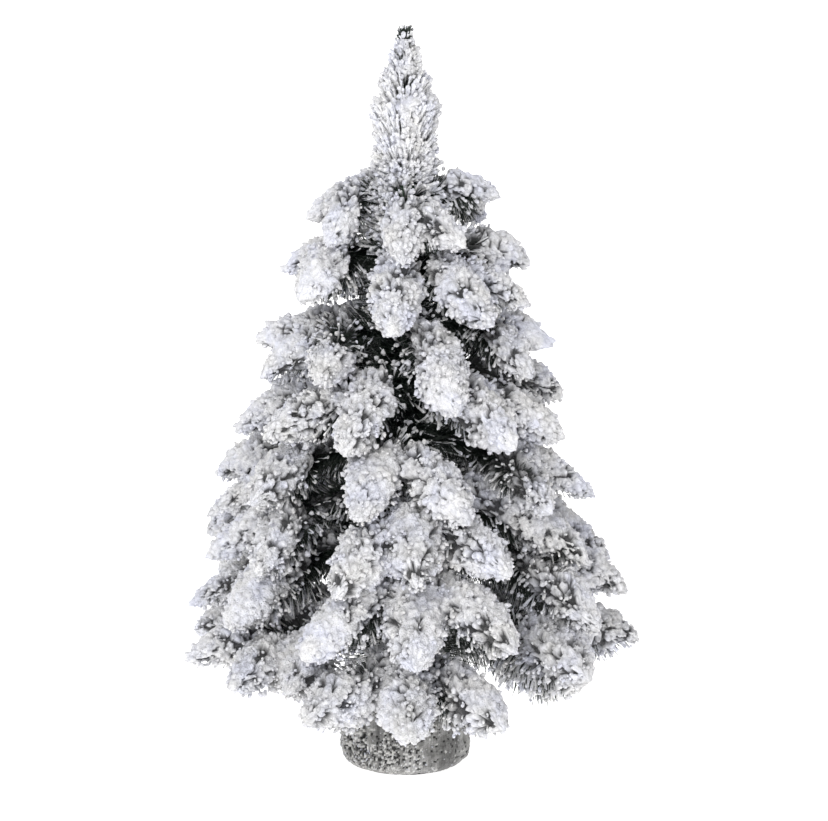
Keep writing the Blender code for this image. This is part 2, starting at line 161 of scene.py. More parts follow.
def polar(azimuth, radius, z):
    angle = math.radians(azimuth)
    return np.array([radius * math.sin(angle), -radius * math.cos(angle), z])


def full_turn(count):
    """Angles evenly round a circle."""
    return 2 * np.pi * np.arange(count) / count


def across(directions):
    """Two unit vectors square to each direction, in right-handed order with it."""
    upright = np.where(np.abs(directions[:, 2:3]) > 0.9, [[1.0, 0, 0]], [[0, 0, 1.0]])
    side = unit(np.cross(directions, upright))
    return side, np.cross(directions, side)


def circle(side, other, angles):
    """Unit vectors at angles (n, m) in the planes of two sets of n axes."""
    return np.cos(angles)[..., None] * side[:, None] + np.sin(angles)[..., None] * other[:, None]


def sideways(ahead, turn):
    """Directions square to ahead, one at each turn round it."""
    return circle(*across(ahead), turn[:, None])[:, 0]


def leaning(ahead, turn, lean):
    """Directions that lean away from ahead by lean, on the side given by turn."""
    return unit(ahead * np.cos(lean)[:, None] + sideways(ahead, turn) * np.sin(lean)[:, None])


def round_axis(radius, angle, z):
    return np.column_stack([radius * np.cos(angle), radius * np.sin(angle), z])


class Wire:
    """A cubic curve from the trunk, or from a fork, to a tip."""

    def __init__(self, start, leave, tip, arrive):
        reach = np.linalg.norm(tip - start)
        first, last = start + unit(leave) * reach * 0.38, tip - unit(arrive) * reach * 0.36
        self.controls = [start, first, last, tip]
        self.params = np.linspace(0, 1, 65)
        steps = np.linalg.norm(np.diff(self.at(self.params), axis=0), axis=1)
        self.length = steps.sum()
        self.run = np.concatenate([[0], np.cumsum(steps)])

    def at(self, param):
        param = param[:, None]
        start, first, last, tip = self.controls
        rest = 1 - param
        near = start * rest**3 + first * 3 * rest * rest * param
        return near + last * 3 * rest * param * param + tip * param**3

    def slope(self, param):
        param = param[:, None]
        start, first, last, tip = self.controls
        rest = 1 - param
        near = (first - start) * 3 * rest * rest + (last - first) * 6 * rest * param
        return unit(near + (tip - last) * 3 * param * param)

    def sample(self, distance):
        """Points and directions at distances along the wire."""
        param = np.interp(distance, self.run, self.params)
        return self.at(param), self.slope(param)


def branch_wires(tips, root_z, droop, lift):
    """The main wire to the first tip, and a side wire that forks from it to each other tip."""
    azimuth, reach, height = tips[0]
    out = polar(azimuth, 1, 0)
    start, tip = polar(azimuth, ROOT_START, root_z), polar(azimuth, reach, height)
    main = Wire(start, out + [0, 0, -0.02], tip, out + [0, 0, -droop])
    wires = [main]
    for side_azimuth, side_reach, side_height in tips[1:]:
        fork = 0.34 if abs(side_azimuth - azimuth) > 30 else 0.40
        point = main.at(np.array([fork]))[0]
        side_tip = polar(side_azimuth, side_reach, side_height)
        way = unit(side_tip - point)
        arrive = polar(side_azimuth, 1, 0) * 0.7 + way * 0.5 + [0, 0, -0.8 * droop]
        wires.append(Wire(point, way + [0, 0, lift], side_tip, arrive))
    return wires


# ---------------------------------------------------------------- meshes and objects
def grid_faces(rows, columns):
    """Quads between rows of points that close on themselves."""
    column = np.arange(columns)
    after = (column + 1) % columns
    bands = []
    for j in range(rows - 1):
        low, high = j * columns, (j + 1) * columns
        bands.append(np.stack([low + column, low + after, high + after, high + column], axis=1))
    return np.concatenate(bands)


class Batch:
    """Collects vertices, faces, tones and material slots for one mesh."""

    def __init__(self):
        self.verts, self.tones, self.count = [], [], 0
        self.faces, self.slots = {4: [], 3: []}, {4: [], 3: []}

    def add(self, verts, tones, quads=(), tris=(), slot=0, tint=1.0):
        """tones: a grey for every vertex, or one for all. tint: a colour that multiplies them."""
        verts = verts.reshape(-1, 3)
        tones = np.broadcast_to(np.reshape(tones, (-1, 1)), (len(verts), 1))
        self.verts.append(verts)
        self.tones.append(tones * (np.ones(3) * tint))
        for sides, faces in ((4, quads), (3, tris)):
            if len(faces):
                self.faces[sides].append(faces.reshape(-1, sides) + self.count)
                self.slots[sides].append(np.full(faces.size // sides, slot))
        self.count += len(verts)

    def add_closed(self, rings, ends, tones, slot=0, tint=1.0):
        """Bodies of rings (n, rows, sides, 3), each closed by a point at both ends (n, 2, 3)."""
        count, rows, sides, _ = rings.shape
        side = np.arange(sides)
        after, top, size = (side + 1) % sides, (rows - 1) * sides, rows * sides
        low = np.stack([np.full(sides, size), after, side], axis=1)
        high = np.stack([np.full(sides, size + 1), top + side, top + after], axis=1)
        start = (np.arange(count) * (size + 2))[:, None, None]
        verts = np.concatenate([rings.reshape(count, size, 3), ends], axis=1)
        tris = np.concatenate([low, high])[None] + start
        self.add(verts, tones, grid_faces(rows, sides)[None] + start, tris, slot, tint)

    def mesh(self, name, materials):
        faces, slots = self.faces[4] + self.faces[3], self.slots[4] + self.slots[3]
        sizes = np.concatenate([np.full(len(part), part.shape[1]) for part in faces])
        verts = np.concatenate(self.verts).astype(np.float32)
        loops = np.concatenate([part.ravel() for part in faces]).astype(np.int32)
        starts = (np.cumsum(sizes) - sizes).astype(np.int32)
        made = bpy.data.meshes.new(name)
        made.vertices.add(len(verts))
        made.vertices.foreach_set("co", verts.ravel())
        made.loops.add(len(loops))
        made.loops.foreach_set("vertex_index", loops)
        made.polygons.add(len(starts))
        made.polygons.foreach_set("loop_start", starts)
        made.polygons.foreach_set("material_index", np.concatenate(slots).astype(np.int32))
        made.polygons.foreach_set("use_smooth", np.ones(len(starts), bool))
        made.update(calc_edges=True)
        attribute = made.color_attributes.new("tone", "FLOAT_COLOR", "POINT")
        colours = np.column_stack([np.concatenate(self.tones), np.ones(len(verts))])
        attribute.data.foreach_set("color", colours.astype(np.float32).ravel())
        made.validate()
        for material in materials:
            made.materials.append(material)
        return made


def object_of(name, data):
    made = bpy.data.objects.new(name, data)
    bpy.context.scene.collection.objects.link(made)
    return made


def piece(name, batch, materials, rides="base_and_trunk", replaces=None):
    """Makes an object of a batch, hangs it on the body it rides, and hides the CAD node it replaces, if any."""
    made = object_of(name, batch.mesh(name, materials))
    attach(made, rides)
    if replaces:
        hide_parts(replaces)


# ---------------------------------------------------------------- repeatable noise over space
WAVES = np.random.default_rng(5).normal(size=(3, 9, 3))
PHASES = np.random.default_rng(6).random((3, 9)) * 2 * np.pi


def field(points, wavelength, which=0):
    """A smooth noise of about -1 to 1: nine plane waves. which: one of three sets of them."""
    pace = 2 * np.pi / wavelength
    return np.sin(points @ unit(WAVES[which]).T * pace + PHASES[which]).sum(1) / 3.0


def scramble(code):
    code = ((code ^ (code >> 16)) * 0x45D9F3B) & 0xFFFFFFFF
    code = ((code ^ (code >> 15)) * 0x2C1B3C6D) & 0xFFFFFFFF
    return code ^ (code >> 13)


def cells(points, size, seed):
    """A jittered grid of seeds, one to a cell: distance to the nearest and to the next, in cell
    sizes, and a random number that belongs to the nearest."""
    scaled = points / size
    home = np.floor(scaled).astype(np.int64)
    near, second = np.full(len(scaled), 9.0), np.full(len(scaled), 9.0)
    value = np.zeros(len(scaled))
    for step in np.ndindex(3, 3, 3):
        cell = home + (np.array(step) - 1)
        x, y, z = cell.T
        code = (x * 73856093) ^ (y * 19349663) ^ (z * 83492791) ^ (seed * 2654435761)
        code = scramble(code)
        jitter = np.stack([code & 1023, (code >> 10) & 1023, (code >> 20) & 1023], axis=1) / 1023.0
        gap = np.linalg.norm(cell + 0.1 + 0.8 * jitter - scaled, axis=1)
        closer = gap < near
        second = np.where(closer, near, np.minimum(second, gap))
        value = np.where(closer, (scramble(code + 7) & 65535) / 65535.0, value)
        near = np.where(closer, gap, near)
    return near, second, value


# ---------------------------------------------------------------- needles, rods, granules, wire
FLOCK_SLOT, NEEDLE_SLOT, WIRE_SLOT = 0, 1, 2
WHITE = np.array([0.83, 0.83, 0.85])  # the flock's tint


def needles(batch, base, tip, width, rng, low, high):
    """Thin three-sided needles from base to tip, with tones low and high at their ends."""
    count = len(base)
    width, low, high = (np.broadcast_to(value, count) for value in (width, low, high))
    angles = full_turn(3)[None] + rng.random((count, 1)) * 2 * np.pi
    ring = circle(*across(unit(tip - base)), angles)
    foot = base[:, None] + ring * width[:, None, None]
    head = tip[:, None] + ring * width[:, None, None] * 0.55
    start = (np.arange(count) * 6)[:, None, None]
    quads = np.array([[0, 1, 4, 3], [1, 2, 5, 4], [2, 0, 3, 5]])[None] + start
    tris = np.array([[2, 1, 0], [3, 4, 5]])[None] + start
    tones = np.repeat(np.stack([low, high], axis=1), 3, axis=1)
    batch.add(np.concatenate([foot, head], axis=1), tones, quads, tris, NEEDLE_SLOT)


def rods(batch, centres, radii, tones, rng):
    """Closed knobbly rods of flock through centres (n, rings, 3), pointed at both ends."""
    count, rings, _ = centres.shape
    sides, rough = 5, 0.25
    ahead = unit(centres[:, -1] - centres[:, 0])
    angles = full_turn(sides)[None] + rng.random((count, 1)) * 2 * np.pi
    reach = radii[:, :, None] * (1 + rough * (rng.random((count, rings, sides)) * 2 - 1))
    ring = centres[:, :, None] + reach[..., None] * circle(*across(ahead), angles)[:, None]
    low, high = centres[:, 0] - ahead * radii[:, :1] * 0.6, centres[:, -1] + ahead * radii[:, -1:] * 0.6
    tones = np.concatenate([np.repeat(tones, sides, axis=1), tones[:, :1], tones[:, -1:]], axis=1)
    batch.add_closed(ring, np.stack([low, high], axis=1), tones, FLOCK_SLOT)


def icosahedron():
    golden = (1 + 5**0.5) / 2
    verts = [
        (-1, golden, 0), (1, golden, 0), (-1, -golden, 0), (1, -golden, 0),
        (0, -1, golden), (0, 1, golden), (0, -1, -golden), (0, 1, -golden),
        (golden, 0, -1), (golden, 0, 1), (-golden, 0, -1), (-golden, 0, 1),
    ]
    faces = [
        (0, 11, 5), (0, 5, 1), (0, 1, 7), (0, 7, 10), (0, 10, 11), (1, 5, 9), (5, 11, 4),
        (11, 10, 2), (10, 7, 6), (7, 1, 8), (3, 9, 4), (3, 4, 2), (3, 2, 6), (3, 6, 8), (3, 8, 9),
        (4, 9, 5), (2, 4, 11), (6, 2, 10), (8, 6, 7), (9, 8, 1),
    ]
    return unit(np.array(verts, float)), np.array(faces)


def split_ball(verts, faces):
    """Each face in four, with the new points pushed out to the sphere."""
    points, found, out = [tuple(vert) for vert in verts], {}, []

    def middle(i, j):
        key = (min(i, j), max(i, j))
        if key not in found:
            found[key] = len(points)
            points.append(tuple(unit(np.array(points[i]) + np.array(points[j]))))
        return found[key]

    for i, j, k in faces:
        ij, jk, ki = middle(i, j), middle(j, k), middle(k, i)
        out += [(i, ij, ki), (ij, j, jk), (ki, jk, k), (ij, jk, ki)]
    return np.array(points), np.array(out)


SMALL_BALL = icosahedron()
LARGE_BALL = split_ball(*SMALL_BALL)


def granules(batch, centre, radius, ahead, tone, rng):
    """Irregular lumps of flock, each a little longer or flatter than round; big ones are knobbly."""
    big = radius > 0.0029
    for knobbly, (ball, faces), rough in ((False, SMALL_BALL, 0.34), (True, LARGE_BALL, 0.11)):
        chosen = np.where(big == knobbly)[0]
        count = len(chosen)
        if not count:
            continue
        side, other = across(ahead[chosen])
        turn = rng.random(count) * 2 * np.pi
        cos, sin = np.cos(turn)[:, None], np.sin(turn)[:, None]
        axes = [side * cos + other * sin, other * cos - side * sin, ahead[chosen]]
        scale = radius[chosen][:, None] * (0.74 + 0.48 * rng.random((count, 3))) * [0.94, 0.94, 1.22]
        swell = 1 + rough * (rng.random((count, len(ball))) * 2 - 1)
        if knobbly:
            knob = unit(rng.normal(size=(count, 7, 3)))
            near = np.clip(np.einsum("bk,nmk->nbm", ball, knob), 0, 1) ** 6
            swell = swell * (0.82 + 0.42 * near.max(2))
        local = ball[None] * swell[..., None] * scale[:, None]
        verts = centre[chosen][:, None] + local @ np.stack(axes, axis=1)
        tris = faces[None] + (np.arange(count) * len(ball))[:, None, None]
        # painted shade: each lump is painted darker where its surface dips in and lighter where it bulges
        tones = tone[chosen][:, None] * (0.62 + 0.36 * np.clip(swell, 0.6, 1.2))
        batch.add(verts, tones, tris=tris, slot=FLOCK_SLOT, tint=WHITE)


def tube(batch, path, radius, sides=4):
    """A closed tube whose rings stay square to its own path."""
    ahead = unit(np.gradient(path, axis=0))
    side = np.zeros_like(ahead)
    side[0] = across(ahead[:1])[0][0]
    for i in range(1, len(path)):
        carried = side[i - 1] - ahead[i] * (side[i - 1] @ ahead[i])
        side[i] = carried / np.linalg.norm(carried)
    rings = path[:, None] + radius * circle(side, np.cross(ahead, side), full_turn(sides)[None])
    ends = np.stack([path[0] - ahead[0] * radius, path[-1] + ahead[-1] * radius])
    batch.add_closed(rings[None], ends[None], 0.5, WIRE_SLOT)


def twisted_wire(batch, wire, end, strand=0.00055):
    """Two strands twisted round each other, from the wire's start to a distance along it."""
    pitch, step = 0.007, 0.0024
    count = max(6, int(end / step))
    points, slopes = wire.sample(np.linspace(0.0, end, count))
    phase = np.linspace(0, end / pitch * 2 * np.pi, count)
    for shift in (0, np.pi):
        tube(batch, points + sideways(slopes, phase + shift) * strand * 0.95, strand)


# ---------------------------------------------------------------- materials
class Shader:
    """A material's Principled shader, with short ways to add nodes. Wherever a value is wanted, an
    output socket may be given, and is linked."""

    def __init__(self, name):
        self.material = bpy.data.materials.new(name)
        self.material.use_nodes = True
        self.nodes, self.links = self.material.node_tree.nodes, self.material.node_tree.links

    def give(self, socket, value):
        if isinstance(value, bpy.types.NodeSocket):
            self.links.new(value, socket)
        else:
            socket.default_value = value

    def node(self, kind, **values):
        """A node with its inputs (an underscore stands for a space) and its settings."""
        made = self.nodes.new(kind)
        for key, value in values.items():
            label = key.replace("_", " ")
            if label in made.inputs:
                self.give(made.inputs[label], value)
            else:
                setattr(made, key, value)
        return made

    @cached_property
    def place(self):
        return self.node("ShaderNodeTexCoord").outputs["Object"]

    def tone(self):
        return self.node("ShaderNodeAttribute", attribute_name="tone").outputs["Color"]

    def noise(self, **values):
        return self.node("ShaderNodeTexNoise", Vector=self.place, **values).outputs["Fac"]

    def voronoi(self, **values):
        return self.node("ShaderNodeTexVoronoi", Vector=self.place, **values).outputs["Distance"]

    def math(self, operation, *values):
        made = self.node("ShaderNodeMath", operation=operation)
        for socket, value in zip(made.inputs, values):
            self.give(socket, value)
        return made.outputs[0]

    def mix(self, factor, low, high, blend="MIX"):
        made = self.node("ShaderNodeMix", data_type="RGBA", blend_type=blend)
        self.give(made.inputs["Factor"], factor)
        self.give(made.inputs[6], low)
        self.give(made.inputs[7], high)
        return made.outputs[2]

    def multiply(self, factor, colour, other):
        return self.mix(factor, colour, other, "MULTIPLY")

    def ramp(self, value, *stops):
        """A colour ramp with stops of (position, colour or grey)."""
        made = self.nodes.new("ShaderNodeValToRGB")
        self.links.new(value, made.inputs[0])
        elements = made.color_ramp.elements
        while len(elements) < len(stops):
            elements.new(0.5)
        for element, (position, colour) in zip(elements, stops):
            element.position = position
            element.color = (*np.broadcast_to(colour, 3).tolist(), 1)
        return made.outputs["Color"]

    def bump(self, height, strength, distance):
        made = self.node("ShaderNodeBump", Strength=strength, Distance=distance, Height=height)
        return made.outputs["Normal"]

    def finish(self, colour, roughness, **inputs):
        """Sets the Principled inputs (an underscore stands for a space); returns the material."""
        sockets = self.nodes["Principled BSDF"].inputs
        for name, value in {"Base Color": colour, "Roughness": roughness, **inputs}.items():
            self.give(sockets[name.replace("_", " ")], value)
        return self.material


def flock_material():
    """White flock: matt, powdery, slightly lavender; painted shade in its tone makes it greyer in its pits."""
    shader = Shader("flock")
    broad = shader.noise(Scale=38.0, Detail=3.0, Roughness=0.6)
    fine = shader.noise(Scale=900.0, Detail=3.0, Roughness=0.7)
    pits = shader.voronoi(Scale=620.0)
    warm, neutral, lavender = (0.96, 0.95, 0.92), (0.96, 0.96, 0.97), (0.90, 0.915, 1.0)
    tint = shader.ramp(broad, (0.34, warm), (0.50, neutral), (0.66, lavender))
    speck = shader.ramp(fine, (0.34, (0.80, 0.80, 0.82)), (0.58, 1))
    # the tone carries painted shade in pits, creases and the sunk core, and a painted highlight on the fused puffs
    colour = shader.multiply(1.0, shader.tone(), tint)
    return shader.finish(
        shader.multiply(0.8, colour, speck),
        shader.ramp(fine, (0.3, 0.86), (0.7, 1.0)),
        Specular_IOR_Level=0.15,
        Sheen_Weight=0.25,
        Sheen_Roughness=0.6,
        Normal=shader.bump(shader.math("ADD", fine, pits), strength=0.7, distance=0.0012),
    )


def needle_material():
    """PVC needles: dark green-black at the root, dusted white towards the end."""
    shader = Shader("needle")
    dust = shader.noise(Scale=520.0, Detail=4.0, Roughness=0.75)
    amount = shader.node("ShaderNodeSeparateColor", Color=shader.tone()).outputs[0]
    share = shader.ramp(shader.math("ADD", amount, dust), (0.78, 0), (1.02, 1))
    green_black, white = (0.012, 0.020, 0.014, 1), (0.74, 0.74, 0.77, 1)
    return shader.finish(
        shader.mix(share, green_black, white),
        shader.ramp(share, (0.0, 0.45), (1.0, 0.95)),
        Normal=shader.bump(dust, strength=0.4, distance=0.0004),
    )


def wire_material():
    """Galvanised wire, painted dark, with flock dust in the twist."""
    shader = Shader("wire")
    dust = shader.noise(Scale=420.0, Detail=4.0)
    share = shader.ramp(dust, (0.52, 0), (0.66, 1))
    paint, flock = (0.020, 0.030, 0.022, 1), (0.45, 0.45, 0.47, 1)
    return shader.finish(
        shader.mix(share, paint, flock),
        shader.ramp(share, (0.0, 0.35), (1.0, 0.9)),
        Metallic=0.35,
    )


def burlap_material():
    """Undyed jute, greyed by the flock that has settled in the weave."""
    shader = Shader("burlap")
    fibre = shader.noise(Scale=1500.0, Detail=4.0, Roughness=0.7)
    blotch = shader.noise(Scale=55.0, Detail=5.0, Roughness=0.65)
    dark, middle, pale = (0.62, 0.61, 0.58), (0.84, 0.83, 0.81), (1.0, 0.99, 0.98)
    tint = shader.ramp(blotch, (0.30, dark), (0.52, middle), (0.70, pale))
    speck = shader.ramp(fibre, (0.32, 0.62), (0.60, 1))
    # the tone brings in painted shade and painted highlight from the weave and its folds
    colour = shader.multiply(1.0, shader.tone(), tint)
    return shader.finish(
        shader.multiply(0.9, colour, speck),
        shader.ramp(fibre, (0.3, 0.82), (0.7, 0.98)),
        Specular_IOR_Level=0.2,
        Sheen_Weight=0.3,
        Sheen_Roughness=0.5,
        Normal=shader.bump(fibre, strength=0.6, distance=0.0006),
    )


def felt_material():
    """Black pressed felt, with grey lint."""
    shader = Shader("felt")
    lint = shader.noise(Scale=700.0, Detail=6.0, Roughness=0.8)
    return shader.finish(
        shader.ramp(lint, (0.40, 0.018), (0.62, 0.05), (0.74, 0.16)),
        shader.ramp(lint, (0.3, 0.88), (0.7, 1)),
        Sheen_Weight=0.4,
        Normal=shader.bump(lint, strength=0.8, distance=0.0008),
    )


def cement_material():
    """Cast cement: pale patches, sand grains and air holes, the holes with painted shade in them."""
    shader = Shader("cement")
    patch = shader.noise(Scale=45.0, Detail=6.0, Roughness=0.6)
    sand = shader.noise(Scale=1300.0, Detail=3.0, Roughness=0.7)
    holes = shader.voronoi(Scale=260.0)
    colour = shader.ramp(patch, (0.32, (0.30, 0.29, 0.28)), (0.68, (0.50, 0.49, 0.47)))
    grain = shader.ramp(sand, (0.34, 0.6), (0.6, 1))
    # painted shade: the air holes are painted dark, as well as pressed in by the bump
    pit = shader.ramp(holes, (0.10, 0.35), (0.20, 1))
    colour = shader.multiply(0.8, colour, grain)
    return shader.finish(
        shader.multiply(0.9, colour, pit),
        shader.ramp(patch, (0.3, 0.8), (0.7, 0.95)),
        Normal=shader.bump(shader.multiply(1.0, grain, pit), strength=0.7, distance=0.001),
    )


def pole_material():
    """Dark green painted tube: scuffed through in places, with flock dust."""
    shader = Shader("pole")
    scuff = shader.noise(Scale=90.0, Detail=8.0, Roughness=0.7)
    peel = shader.noise(Scale=900.0, Detail=2.0)
    worn = shader.ramp(scuff, (0.60, 0), (0.66, 1))
    dust = shader.ramp(peel, (0.56, 0), (0.70, 1))
    paint, metal, flock = (0.022, 0.045, 0.026, 1), (0.20, 0.20, 0.19, 1), (0.55, 0.55, 0.57, 1)
    return shader.finish(
        shader.mix(dust, shader.mix(worn, paint, metal), flock),
        shader.ramp(scuff, (0.3, 0.35), (0.7, 0.65)),
        Metallic=0.2,
        Normal=shader.bump(peel, strength=0.3, distance=0.0004),
    )


def tape_material():
    """Dark green florist's tape: waxed crepe paper, dusted with flock."""
    shader = Shader("tape")
    crepe = shader.noise(Scale=260.0, Detail=5.0, Roughness=0.7, Distortion=1.5)
    dust = shader.noise(Scale=520.0, Detail=4.0)
    colour = shader.ramp(crepe, (0.35, (0.020, 0.050, 0.026)), (0.65, (0.050, 0.100, 0.055)))
    share = shader.ramp(dust, (0.58, 0), (0.70, 1))
    return shader.finish(
        shader.mix(share, colour, (0.5, 0.5, 0.52, 1)),
        shader.ramp(crepe, (0.3, 0.45), (0.7, 0.75)),
        Normal=shader.bump(crepe, strength=0.7, distance=0.0006),
    )


FLOCK, NEEDLE, WIRE = flock_material(), needle_material(), wire_material()
BURLAP, FELT, CEMENT = burlap_material(), felt_material(), cement_material()
POLE, TAPE = pole_material(), tape_material()
BRUSH_MATERIALS = [FLOCK, NEEDLE, WIRE]  # in the order of the slot numbers


# ---------------------------------------------------------------- branches
GRAIN = 0.0021  # an average granule's radius
COVER = 0.92  # granules' area as a share of the brush's
CORE_SIDES = 84


def coat(batch, base, tip, heavy, rng, puffy=0.0, grained=False):
    """Needles from base to tip, with flock on their outer ends. heavy: how much, 0 to about 1.
    puffy: how far it has fused into bigger lumps. grained: which needles show only their granule,
    because the rest is inside the flock."""
    count = len(base)
    puffy, grained = np.broadcast_to(puffy, count), np.broadcast_to(grained, count)
    way, length = unit(tip - base), np.linalg.norm(tip - base, axis=1)
    shade = 0.90 + 0.10 * rng.random(count)
    # the needles themselves
    k = np.where(~grained)[0]
    dust = np.clip(-0.02 + 0.85 * heavy[k] + 0.16 * rng.normal(size=len(k)), 0, 1)
    back = np.where(heavy[k] > 0.12, 0.0018, 0.10 * length[k] + 0.001)
    width = 0.00038 + 0.00014 * rng.random(len(k))
    low = np.clip(dust - 0.60, 0, 0.3)
    needles(batch, base[k], tip[k] - way[k] * back[:, None], width, rng, low, dust)
    # a sleeve of flock on the outer part of most of them
    k = k[(heavy[k] > 0.12) & (rng.random(len(k)) < 0.85)]
    share = np.clip(0.66 - 0.40 * heavy[k] + 0.14 * rng.normal(size=len(k)), 0.14, 0.88)
    thick = (0.00046 + 0.00085 * heavy[k]) * (0.70 + 0.6 * rng.random(len(k)))
    along = np.linspace(0, 1, 3)[None, :, None]
    start = base[k] + way[k] * (length[k] * share)[:, None]
    centres = start[:, None] * (1 - along) + tip[k][:, None] * along
    centres = centres + rng.normal(size=centres.shape) * thick[:, None, None] * 0.45
    swell = np.array([0.50, 0.92, 1.05])[None] * (0.80 + 0.45 * rng.random((len(k), 3)))
    # painted shade: each flock sleeve is painted darker towards its inner end, deeper in the brush
    tones = shade[k][:, None] * np.array([0.60, 0.84, 0.97])[None]
    rods(batch, centres, thick[:, None] * swell, tones, rng)
    # granules at the tips
    shown = ~grained | (rng.random(count) < 0.55 - 0.40 * puffy)
    k = np.where((heavy > 0.28) & shown)[0]
    radius = GRAIN * (0.62 + 0.34 * heavy[k] + 0.50 * puffy[k])
    radius = radius * (0.62 + 0.76 * rng.random(len(k)) ** 1.3)
    centre = tip[k] - way[k] * (radius * (0.35 + 0.9 * rng.random(len(k))))[:, None]
    granules(batch, centre, radius, way[k], shade[k], rng)


def heaviness(wire, distance, centre, out, tip, start, snow, bare):
    """How much flock a point on the brush carries, and how far it has fused."""
    far = np.clip((distance - start) / (wire.length - start), 0, 1)
    outward = unit(centre * [1, 1, 0])
    facing = 0.17 * out[:, 2] + 0.10 * (out * outward).sum(1)
    depth = bare * np.clip(far - 0.42, -0.42, 0.0) + 0.75 * np.clip(far - 0.42, 0.0, 0.33)
    patch = field(tip, 0.060, 2)
    puffy = np.clip(patch * 1.3 - 0.60 + 0.6 * out[:, 2], 0, 0.7) * np.clip(3 * far - 1.2, 0, 1)
    return snow + facing + depth + 0.16 * patch, puffy


def popcorn(points, heavy, radius, puffy):
    """The fused surface: how far it stands out (m), how light it is (with painted shade in its creases and gaps and a
    painted highlight on the fused puffs), and where a granule is missing."""
    near, second, value = cells(points * [1, 1, 0.80], GRAIN * 2.5, 1)
    broad_near, broad_second, broad_value = cells(points * [1, 1, 0.85], GRAIN * 5.2, 2)
    blunt = np.clip((radius - 0.007) / 0.006, 0, 1)  # the very end of a brush is closed over
    gone = value < np.clip(0.70 - 0.80 * heavy, 0.015, 0.9) * blunt
    wide = 0.085 + 0.13 * field(points, 0.021) + 0.42 * (0.72 - heavy)
    wide = np.clip(wide, 0, 0.30) * (1 - puffy)
    gone = gone | (broad_second - broad_near < wide * blunt)
    crease = np.clip(1 - (second - near) / 0.22, 0, 1)
    dome = 1 - np.clip(near / 0.75, 0, 1) ** 2
    high = 0.0021 * (dome - 0.45) * (0.7 + 0.6 * value) - 0.0011 * crease
    broad_dome = 1 - np.clip(broad_near / 0.8, 0, 1) ** 2
    high = high + 0.0022 * (broad_dome - 0.45) + 0.0014 * (broad_value - 0.5)
    high = high * (1 - 0.40 * puffy)
    high = np.where(gone, high - 0.0030 - 0.0030 * value, high)
    # painted shade: the surface is painted darker in the creases between lumps
    tone = (0.84 + 0.16 * value) * (1 - 0.34 * crease)
    # painted highlight: the fused puffs, most of them facing up, are painted lighter
    tone = tone + (1.08 - tone) * 0.75 * puffy
    # where a granule is missing the core is painted nearly black: painted shade in the gap, and the dark needles
    # behind it
    return high, np.where(gone, 0.10 * tone, tone), gone


def core(batch, wire, grid, radius, start, snow, bare):
    """The flock that has fused between the needles: a lumpy closed body inside the outer part of
    the brush."""
    first, last = start + (wire.length - start) * 0.20, wire.length - 0.003
    rings = max(12, int((last - first) / 0.0015))
    distance = np.linspace(first, last, rings)
    place, ahead = wire.sample(distance)
    out = circle(*across(ahead), full_turn(CORE_SIDES)[None]).reshape(-1, 3)
    centre = np.repeat(place, CORE_SIDES, axis=0)
    full = np.repeat(np.interp(distance, grid, radius), CORE_SIDES)
    surface = centre + out * full[:, None]
    distance = np.repeat(distance, CORE_SIDES)
    heavy, puffy = heaviness(wire, distance, centre, out, surface, start, snow, bare)
    lumps = 0.45 * field(surface, 0.017) + 0.35 * field(surface, 0.0075, 1)
    sunk = np.clip(0.02 + 1.50 * (heavy - 0.08), 0.10, 0.95)
    high, tone, _ = popcorn(surface, heavy, full, puffy)
    small = np.clip(full / 0.012, 0.15, 1)
    reach = full * sunk * (1 + 0.11 * lumps) + high * small * np.clip(sunk * 1.4, 0.3, 1) - 0.0010
    verts = centre + out * np.maximum(reach, 0.0012)[:, None]
    ends = np.stack([place[0] - ahead[0] * 0.003, place[-1] + ahead[-1] * 0.002])
    # painted shade: the core is painted darker the deeper it sinks into the brush, for the shade there and the dark
    # needles that show; its inner end point is painted dark and its outer end light
    tone = np.concatenate([tone * np.clip((sunk - 0.28) / 0.55, 0.03, 1), [0.1, 0.9]])
    verts = verts.reshape(1, rings, CORE_SIDES, 3)
    batch.add_closed(verts, ends[None], tone, FLOCK_SLOT, WHITE)


def brush(batch, wire, rng, start, widest, snow, bare):
    """The foliage of one wire, from start along it to a blunt point at its end."""
    end, step = wire.length, 0.0005
    grid = np.arange(start, end - 0.0010, step)
    left = end - grid
    radius = widest * 1.03 * (1 - np.exp(-(left + 0.0010) / 0.0260))
    radius = radius * np.clip(left / 0.005, 0.05, 1) ** 0.35
    place, _ = wire.sample(grid)
    trunk = np.hypot(place[:, 0], place[:, 1])
    radius = np.minimum(radius, 0.009 + 0.70 * np.maximum(trunk - 0.008, 0))
    core(batch, wire, grid, radius, start, snow, bare)
    outer_needles(batch, wire, rng, grid, radius, step, start, snow, bare)
    inner_needles(batch, wire, rng, grid, radius, start)


